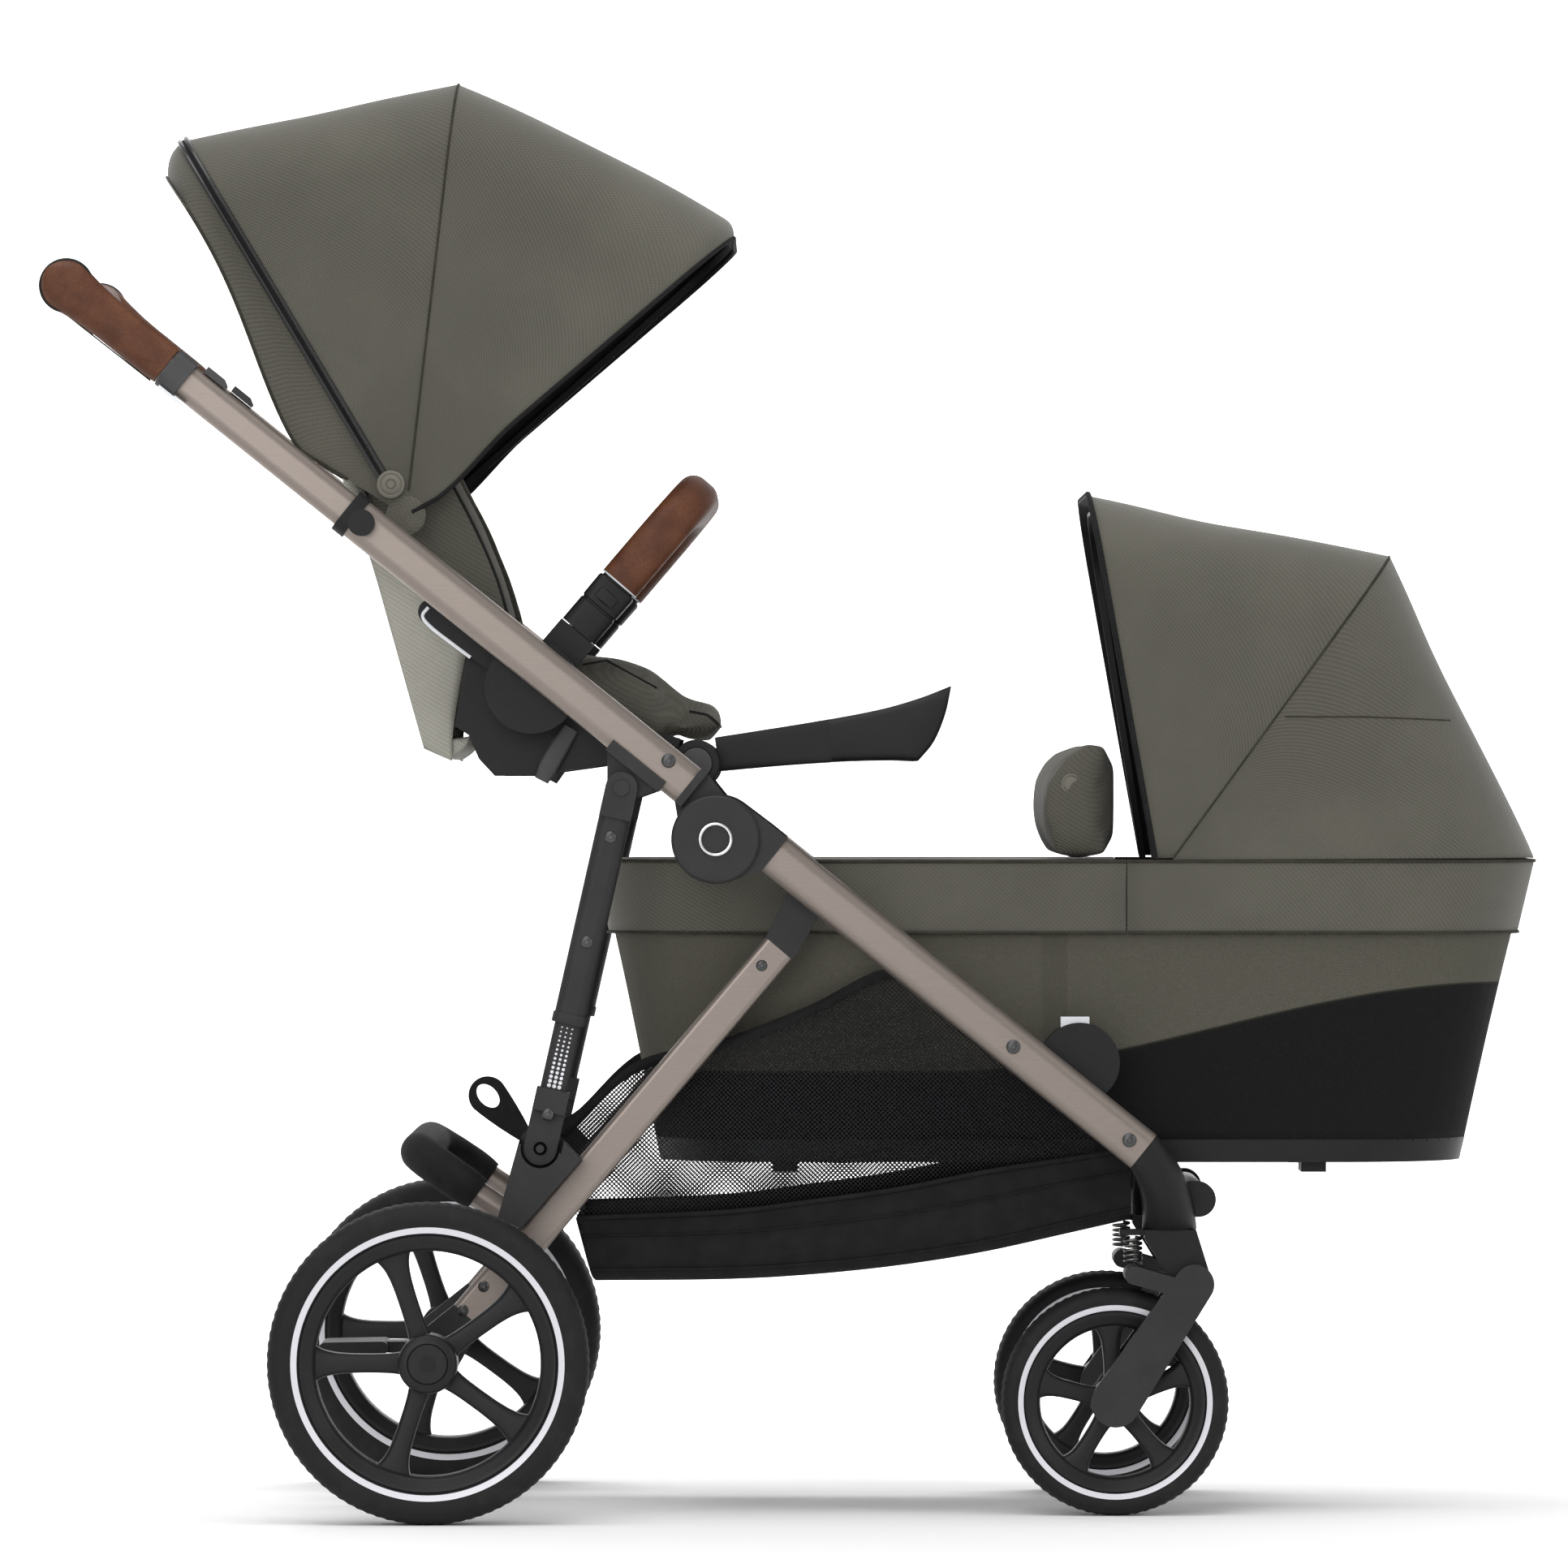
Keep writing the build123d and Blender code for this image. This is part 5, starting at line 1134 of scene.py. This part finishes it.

# %% [markdown]
# The front wheels hang on swinging arms with a steel coil each. The coil is a wire carried along
# a helix.

# %% coil springs
for side, sign in SIDES:
    spring_low, spring_high = low(f"caster_spring_{side}")[2], high(f"caster_spring_{side}")[2]
    along = np.linspace(0, 1, 150)
    turn = along * 5.2 * 2 * math.pi
    coil = np.stack([298 + 7.2 * np.cos(turn), sign * 171.0 + 7.2 * np.sin(turn),
                     spring_low + 1.4 + (spring_high - spring_low - 2.8) * along], -1)
    spring = Shape(f"spring_coil_{side}").grid(sweep(coil, oval(1.4, 1.4, 10), (0, 0, 1)), (False, True),
                                               ends=True)
    coil_piece = carried(spring.build(steel), f"caster_{side}", "steel", f"caster_spring_{side}")
    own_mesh(coil_piece)
print("coils made")

# %% [markdown]
# ## Stuffed pieces
# A cushion starts as its plain solid, a little too small. It is remeshed into even squares, its
# edges are relaxed, and then it is blown up as cloth with pressure inside, like a balloon that
# may only grow a few millimetres. The ends bulge, the middle crowns, and small folds appear.


# %% swelling a pad
def settled(piece):
    """The piece's mesh with its modifiers worked in."""
    graph = bpy.context.evaluated_depsgraph_get()
    mesh = bpy.data.meshes.new_from_object(piece.evaluated_get(graph))
    old = piece.data
    piece.modifiers.clear()
    piece.data = mesh
    bpy.data.meshes.remove(old)
    return piece


def places_of(mesh):
    places = np.zeros(len(mesh.vertices) * 3)
    mesh.vertices.foreach_get("co", places)
    return places.reshape(-1, 3)


def stuffed(name, node, finish, body, slot, shrink=4.0, cap=9.0, soften=14, voxel=5.0,
            pressure=4.0):
    """A pad from its solid: shrink, remesh, relax, swell by at most cap, and smooth."""
    mesh = frame["nodes"][node].data.copy()
    shell = bmesh.new()
    shell.from_mesh(mesh)
    bmesh.ops.remove_doubles(shell, verts=shell.verts, dist=1e-5)
    bmesh.ops.recalc_face_normals(shell, faces=shell.faces)
    shell.to_mesh(mesh)
    shell.free()
    mesh.materials.clear()
    piece = bpy.data.objects.new(name, mesh)
    bpy.context.scene.collection.objects.link(piece)
    even_mesh = piece.modifiers.new("even", "REMESH")
    even_mesh.mode, even_mesh.voxel_size = "VOXEL", voxel * MM
    smaller = piece.modifiers.new("smaller", "DISPLACE")
    smaller.strength, smaller.mid_level = -shrink * MM, 0.0
    relax = piece.modifiers.new("relax", "SMOOTH")
    relax.factor, relax.iterations = 0.5, soften
    settled(piece)
    before = places_of(piece.data)
    cloth = piece.modifiers.new("cloth", "CLOTH")
    cloth.settings.quality = 4
    cloth.settings.use_pressure = True
    cloth.settings.uniform_pressure_force = pressure
    cloth.settings.effector_weights.gravity = 0.0
    cloth.settings.shrink_min = -0.04
    cloth.point_cache.frame_end = 20
    for number in range(1, 21):
        bpy.context.scene.frame_set(number)
    settled(piece)
    bpy.context.scene.frame_set(1)
    moved = places_of(piece.data) - before
    far = np.linalg.norm(moved, axis=1)[:, None]
    moved *= np.minimum(1.0, cap * MM / np.maximum(far, 1e-9))
    piece.data.vertices.foreach_set("co", (before + moved).ravel())
    piece.data.update()
    round_off = piece.modifiers.new("round", "SMOOTH")
    round_off.factor, round_off.iterations = 0.5, 3
    finer = piece.modifiers.new("finer", "SUBSURF")
    finer.levels = finer.render_levels = 1
    settled(piece)
    piece.data.polygons.foreach_set("use_smooth", [True] * len(piece.data.polygons))
    piece.data.materials.clear()
    piece.data.materials.append(finish)
    carried(piece, body, slot, node)
    print(name, "faces", len(piece.data.polygons))
    return piece


seat_pad = stuffed("seat_pad", "seat_cushion", olive_pad, "upper_frame", "olive_cloth", cap=10.0)
back_pad = stuffed("back_pad", "backrest_pad", olive_pad, "backrest", "olive_cloth", cap=6.0, voxel=6.0)
stuffed("back_cover", "backrest_shell", pale, "backrest", "olive_cloth", shrink=1.5, cap=3.0,
        soften=6)
wind_flap = stuffed("wind_flap", "cot_flap", olive_pad, "front_frame", "olive_cloth", cap=9.0)
stuffed("mattress", "cot_mattress", pale, "front_frame", "olive_cloth", cap=5.0, voxel=7.0)
print("pads made: 5")

# %% [markdown]
# ## Footrest, rear bow and harness
# The footrest is a moulded board whose side view is two smooth curves, so each station of the
# sweep is a rounded box between them. The rear bow wears a foam sleeve, and the harness is flat webbing.

# %% footrest
upper_edge = curve_between([(-70, 684), (15, 697.5), (72, 708), (108, 718), (138, 729.4)], 40)
lower_edge = curve_between([(-66, 654.5), (-10, 659.5), (44, 663), (85, 664), (109, 663)], 30)
tip = curve_between([(109, 663), (123, 680), (133, 704), (138, 727.4)], 14)
under = np.concatenate([lower_edge, tip[1:]])
under = np.stack([np.interp(np.linspace(0, 1, 40), np.linspace(0, 1, len(under)),
                            under[:, k]) for k in (0, 1)], -1)
board_half = 170.7
thick = np.linalg.norm(upper_edge - under, axis=1)
corner = np.minimum(thick * 0.35, 7.0)
angle = np.linspace(0, math.pi / 2, 6)
quarter = np.concatenate([angle + k * math.pi / 2 for k in range(4)])
sign_y = np.repeat([1, -1, -1, 1], 6)
sign_z = np.repeat([1, 1, -1, -1], 6)
y = sign_y * (board_half - corner[:, None]) + corner[:, None] * np.cos(quarter)
v = 0.5 + (sign_z * (thick[:, None] / 2 - corner[:,
                                                 None]) + corner[:,
                                                                 None] * np.sin(quarter)) / np.maximum(thick[:, None], 0.5)
flat_places = under[:, None] + (upper_edge - under)[:, None] * v[..., None]
board = np.stack([flat_places[..., 0], y, flat_places[..., 1]], -1)
near_hub = int(40 * 0.30)
rest = Shape("footrest_board").grid(board[near_hub:], (False, True), ends=True)
for side, sign in SIDES:
    narrow = sign * (board_half - 9.6) + sign_y * 7.0 + 2.0 * np.cos(quarter)
    arm_flat = flat_places[: near_hub + 1]
    arm = np.stack([arm_flat[..., 0], narrow + 0 * arm_flat[..., 0], arm_flat[..., 1]], -1)
    rest.grid(arm, (False, True), ends=True)
    pivot = flat(PIVOT["footrest_tilt"])
    hub_in = sign * (board_half - 18.0)
    hub_out = sign * (board_half + 0.2)
    hub_profile = np.array([[0.01, hub_in], [19.5, hub_in], [21, hub_in + sign * 1.5],
                            [21, hub_out - sign * 1.0], [20, hub_out],
                            [0.01, hub_out]])
    rest.grid(lathe(pivot, hub_profile, 48), (True, False))
    cover = sign * (high("seat_frame")[1] + 0.3)
    ring_profile = np.array([[0.01, cover], [20, cover], [21, cover + sign * 1.2], [21, cover + sign * 4.2],
                             [19.8, cover + sign * 5.6],
                             [14.6, cover + sign * 5.6], [14.2, cover + sign * 4.6],
                             [0.01, cover + sign * 4.6]])
    rest.grid(lathe(pivot, ring_profile, 48), (True, False))
    disc_profile = np.array([[0.01, cover + sign * 4.0], [13.9, cover + sign * 4.0],
                             [13.9, cover + sign * 5.4], [13.0, cover + sign * 6.4],
                             [0.01, cover + sign * 6.8]])
    carried(Shape(f"footrest_disc_{side}").grid(lathe(pivot, disc_profile, 48), (True, False)).build(grey),
            "footrest",
            "dark_plastic")
carried(rest.build(black), "footrest", "black_plastic", "footrest")
print("footrest made")

# %% rear bow sleeve and harness
sleeve_route = [at_y((-277.8, 283.6), -205.0), at_y((-330.0, 319.0), -205.0), at_y((-330.0, 319.0), 205.0),
                at_y((-277.8, 283.6), 205.0)]
sleeve_path = even(bar_route(sleeve_route, 50.0, 12), 5.0)
along = np.linspace(0, 1, len(sleeve_path))
puff = 1.0 - 0.14 * (np.exp(-along * 60) + np.exp(-(1 - along) * 60)) + 0.006 * np.sin(along * 90) * np.sin(along * 37)
sleeve = Shape("bow_sleeve").grid(sweep(sleeve_path, oval(17.0, 17.0, 28),
                                        np.cross([0, 1, 0], [0.83, 0, -0.56]), puff),
                                  (False, True), ends=True)
carried(sleeve.build(black_pad), "rear_frame", "black_cloth", "rear_bow_pad")

straps = Shape("harness_webbing")
for side, sign in SIDES:
    shoulder = [(-284, sign * 30, 796), (-300, sign * 42, 832), (-326, sign * 50, 905),
                (-352, sign * 50, 985), (-388, sign * 50, 1088)]
    lap = [(-276, sign * 22, 782), (-262, sign * 70, 752), (-250, sign * 105, 738)]
    for line in (shoulder, lap):
        points = np.array(line, float)
        path = curve_between(points, 30)
        straps.grid(sweep(path, rounded(25.0, 2.0, 0.9, 4), (0.9, 0, 0.3)), (False, True), ends=True)
carried(straps.build(plain_weave("webbing", (0.015, 0.015, 0.016), pitch=0.0024, kind="Object")), "backrest",
        "black_cloth", "harness")
buckle = Shape("harness_buckle")
stations = np.array([[-282.0, 0, 783.0], [-279.0, 0, 783.8], [-267.0, 0, 787.0], [-265.5, 0, 787.4]])
buckle.grid(sweep(stations, rounded(44.0, 50.0, 12.0, 6), (0, 0, 1), [0.9, 1.0, 1.0, 0.88]), (False, True),
            ends=True)
stations = np.array([[-266.0, 0, 787.4], [-263.5, 0, 788.0], [-263.0, 0, 788.1]])
buckle.grid(sweep(stations, oval(11, 11, 24), (0, 0, 1), [1.0, 1.0, 0.85]), (False, True), ends=True)
carried(buckle.build(black), "backrest", "black_plastic")
print("sleeve and harness made")

# %% [markdown]
# ## Small fittings
# Rivets, screws, the ring on the fold hub, the height marks on the struts and the sewn tabs are
# small, but they tell what holds the stroller together.


# %% rivets and the hub ring
def domes(name, centres, y, radius, finish, body, sign_list=(RIGHT, LEFT), recess=0.35):
    """Domed screw heads: height = h (1 - (r / R)^2), with a dimple for the key."""
    shape = Shape(name)
    for sign in sign_list:
        for centre in centres:
            span = np.array([0.01, radius * recess, radius * recess + 0.3, radius * 0.7, radius * 0.93,
                             radius, radius])
            rise = np.array([0.9, 0.9, 2.0, 1.6, 0.8, 0.0, -2.0])
            profile = np.concatenate([np.stack([span, sign * (y + rise)], -1), [[0.01, sign * (y - 2.0)]]])
            shape.grid(lathe(np.array(centre), profile, 28), (True, False))
    piece = shape.build(finish)
    return carried(piece, body, "steel")


tube_face = FRAME_Y + 13.0
HUB = flat(PIVOT["frame_fold"])
hub_face = high("hub_caps")[1]
for side, sign in SIDES:
    hub_ring_profile = np.array([[12.2, hub_face - 0.6], [12.4, hub_face + 0.5], [13.6, hub_face + 0.9],
                                 [14.6, hub_face + 0.5], [14.8, hub_face - 0.6]])
    ring_piece = Shape(f"hub_ring_{side}").grid(lathe(HUB, hub_ring_profile * [1, sign], 64),
                                                (True, True)).build(chrome)
    carried(ring_piece, "front_frame", "steel")
STRUT_TOP = on_line(-92.2, -38.3)
STRUT_DOWN = turned(-90.0 - 12.7)
strut_face = FRAME_Y + 12.0
domes("strut_screws", [STRUT_TOP + t * STRUT_DOWN for t in (44.0, 138.0)], strut_face - 0.3, 5.6, bolt,
      "struts")
domes("strut_foot_screws", [STRUT_TOP + t * STRUT_DOWN for t in (292.0,)], high("strut_feet")[1] - 0.4, 5.4,
      bolt, "struts")
leg_face = high("rear_legs")[1]
leg_line = [(-28.5, 484.0), (-272.0, 203.0), (-290.0, 182.0)]
domes("leg_screws", leg_line, leg_face - 0.4, 5.2, bolt, "rear_frame")
domes("tube_bolts", [on_line(316.0), on_line(446.0)], tube_face + 0.9, 6.2, bolt, "front_frame")
domes("saddle_bolts", [on_line(-75.0, 6.0)], tube_face + 0.9, 6.2, bolt, "upper_frame")
for side, sign in SIDES:
    collar_path = np.array([at_y(STRUT_TOP + t * STRUT_DOWN,
                                 sign * FRAME_Y) for t in (202.5, 203.2, 210.8, 211.5)])
    collar = sweep(collar_path, rounded(30.4, 26.4, 9.5, 8), (0, 1, 0), [0.97, 1.0, 1.0, 0.97])
    carried(Shape(f"strut_collar_{side}").grid(collar, (False, True), ends=True).build(dark), "struts",
            "dark_plastic")
dots = Shape("height_marks")
STRUT_OUT = FRAME_Y + 9.95
square = np.array([-STRUT_DOWN[1], STRUT_DOWN[0]])
for sign in (RIGHT, LEFT):
    for row in range(14):
        for column in (-1, 0, 1):
            where = STRUT_TOP + (215.0 + row * 4.0) * STRUT_DOWN + column * 4.6 * square
            radius = 0.7 + row * 0.08
            profile = np.array([[0.01, STRUT_OUT + 0.35], [radius, STRUT_OUT + 0.2],
                                [radius, STRUT_OUT - 0.6], [0.01, STRUT_OUT - 0.6]])
            dots.grid(lathe(where, profile * [1, sign], 10), (True, False))
carried(dots.build(reflector), "struts", "steel")
print("screws, ring and marks made")

# %% tabs, lever and straps
for name, start, end, body in (("canopy_tab", (-497.0, 1213.0), (-486.0, 1217.0), "backrest"),
                               ("hood_tab", (630.0, 607.0), (634.0, 598.0), "front_frame")):
    tab = sweep(np.array([at_y(start, -20), at_y(start, 20)]), rounded(9.0, 2.4, 1.1, 4), (0, 0, 1))
    carried(Shape(name).grid(tab, (False, True), ends=True).build(black_cloth), body, "black_cloth")
for side, sign in SIDES:
    lever_path = np.array([at_y(p, sign * 192.5) for p in ((-196, 692), (-206, 676), (-216, 658),
                                                           (-222, 646))], float)
    lever = Shape(f"recline_lever_{side}").grid(sweep(lever_path, rounded(17.0, 7.0, 3.0, 5), (0, 1, 0),
                                                      [0.8, 1.0, 1.0, 0.75]),
                                                 (False, True), ends=True)
    carried(lever.build(grey), "upper_frame", "dark_plastic")
    strip_path = np.array([at_y(p, sign * 200.5) for p in ((-321, 798), (-326, 790), (-318, 780), (-300, 766),
                                                           (-284, 754))], float)
    strip_piece = Shape(f"side_edge_{side}").grid(sweep(curve_between(strip_path, 24),
                                                        rounded(3.0, 3.0, 1.2, 4), (0, 1, 0)),
                                                   (False, True), ends=True)
    carried(strip_piece.build(white), "upper_frame", "button_white")
badge_centre = np.array([244.0, 643.0])
badge_y = laid_on(wind_flap, [(240, 643), (247, 643)], RIGHT, 3.0)[:, 1].max() - 0.4
badge_profile = np.array([[0.01, badge_y], [6.0, badge_y], [7.0, badge_y + 0.7], [8.0, badge_y],
                          [9.0, badge_y + 0.5], [9.4, badge_y + 2.5],
                          [0.01, badge_y + 4.0]])
carried(Shape("flap_badge").grid(lathe(badge_centre, badge_profile, 40), (True, False)).build(olive_plastic),
        "front_frame", "dark_plastic")
pad_half = high("backrest_pad")[1]
for side, sign in SIDES:
    rise = np.linspace(0, 1, 14)[:, None, None]
    rear_line = (np.array([-326.0, 674.0]) * (1 - rise) + np.array([-376.0, 852.0]) * rise)[:, 0]
    front_line = curve_between([(-301, 663), (-300, 692), (-290, 752), (-282, 778)], 14)
    span = np.linspace(0, 1, 10)[None, :, None]
    panel = rear_line[:, None] * (1 - span) + front_line[:, None] * span
    panel_y = sign * (pad_half + 2.0 + 1.6 * np.sin(math.pi * span[..., 0]) * np.sin(math.pi * rise[..., 0]))
    shape = Shape(f"back_side_{side}").grid(np.stack([panel[..., 0], panel_y, panel[..., 1]], -1))
    cloth_sheet(shape, (-320, 0, 760), pale, pale, 1.5, "backrest")
    edge = curve_between([(-249, 780), (-262, 824), (-280, 866), (-302, 908), (-337, 970)], 40)
    piping(f"wing_piping_{side}", laid_on(back_pad, edge, sign), 1.4, black_cloth, "backrest")
    for name, outline_points in (("dome", [(-186, 748), (-166, 752), (-146, 741), (-122, 728)]),
                                 ("calf", [(-92, 707), (-76, 704), (-60, 690)])):
        seam = laid_on(seat_pad, outline_points, sign, 4.0)
        if len(seam) > 3:
            piping(f"seat_{name}_piping_{side}", seam, 1.2, black_cloth, "upper_frame")
    buckle_path = np.array([at_y(on_line(s, -18.0),
                                 sign * (FRAME_Y + 9.0)) for s in (-627.0, -612.0, -600.0)])
    carried(Shape(f"wrist_ribbon_{side}").grid(sweep(buckle_path, rounded(3.0, 11.0, 1.2, 5), (0, 1, 0)),
                                               (False, True), ends=True).build(
        white), "handle", "button_white")
print("small fittings made")

# %% [markdown]
# ## Stage, light and camera
# A pale floor curves up into a backdrop, so the stroller stands in soft, even light. Large lamps
# above and in front fill the shadows, and one from the side shapes the tubes. The backdrop is clear
# from its reverse, so that the stroller can be seen from behind. The camera stands
# far off with a long lens, level with the middle of the stroller.

# %% stage and light
sweep_y = np.concatenate([[-14.0, -6.0, -2.0, 1.0, 3.0],
                          3.0 + 3.0 * np.sin(np.linspace(0.1, math.pi / 2, 12)), [6.0]])
sweep_z = np.concatenate([np.zeros(5), 3.0 - 3.0 * np.cos(np.linspace(0.1, math.pi / 2, 12)), [9.0]])
floor_x = np.linspace(-9, 9, 3)[:, None]
floor_places = np.stack([floor_x + 0 * sweep_y, sweep_y + 0 * floor_x, sweep_z + 0 * floor_x], -1)
paper = Paint("studio_paper")
grain = paper.noise(3.0)
reverse = Field(paper, paper.node("ShaderNodeNewGeometry").outputs["Backfacing"])
paper.set(Base_Color=paper.mix(grain, (0.92, 0.92, 0.92), (0.94, 0.94, 0.94)), Roughness=1.0,
          Specular_IOR_Level=0.0,
          Alpha=1.0 - reverse)
backdrop = Shape("studio_floor").grid(floor_places * 1000).build(paper.material, solid=False)
if backdrop.data.polygons[0].normal.z < 0:
    backdrop.data.flip_normals()


def lamp(name, place, target, size, power, shape="SQUARE"):
    light = bpy.data.lights.new(name, "AREA")
    light.energy, light.size, light.shape = power, size, shape
    holder = bpy.data.objects.new(name, light)
    bpy.context.scene.collection.objects.link(holder)
    holder.location = place
    holder.rotation_euler = (Vector(target) - Vector(place)).to_track_quat("-Z", "Y").to_euler()
    return holder


lamp("top_softbox", (-0.6, -0.8, 4.2), (0, 0, 0.4), 3.6, 110)
lamp("front_softbox", (-1.6, -5.4, 2.2), (0, 0, 0.6), 3.4, 115)
lamp("side_softbox", (4.2, -2.6, 2.0), (0, 0, 0.6), 2.4, 50)
lamp("backdrop_light", (0, 2.2, 3.8), (0, 5.6, 1.2), 4.0, 320)
world = bpy.data.worlds.new("studio")
world.use_nodes = True
world.node_tree.nodes["Background"].inputs["Color"].default_value = (1.0, 1.0, 1.0, 1.0)
world.node_tree.nodes["Background"].inputs["Strength"].default_value = 0.42
bpy.context.scene.world = world
bpy.context.scene.view_settings.view_transform = "Standard"

camera_data = bpy.data.cameras.new("camera")
camera_data.lens, camera_data.sensor_width = 253.9, 36.0
camera_data.clip_end = 100.0
camera = bpy.data.objects.new("camera", camera_data)
camera.location = (-0.009, -9.9, 0.643)
camera.rotation_euler = (math.pi / 2, 0, 0)
bpy.context.scene.collection.objects.link(camera)
bpy.context.scene.camera = camera
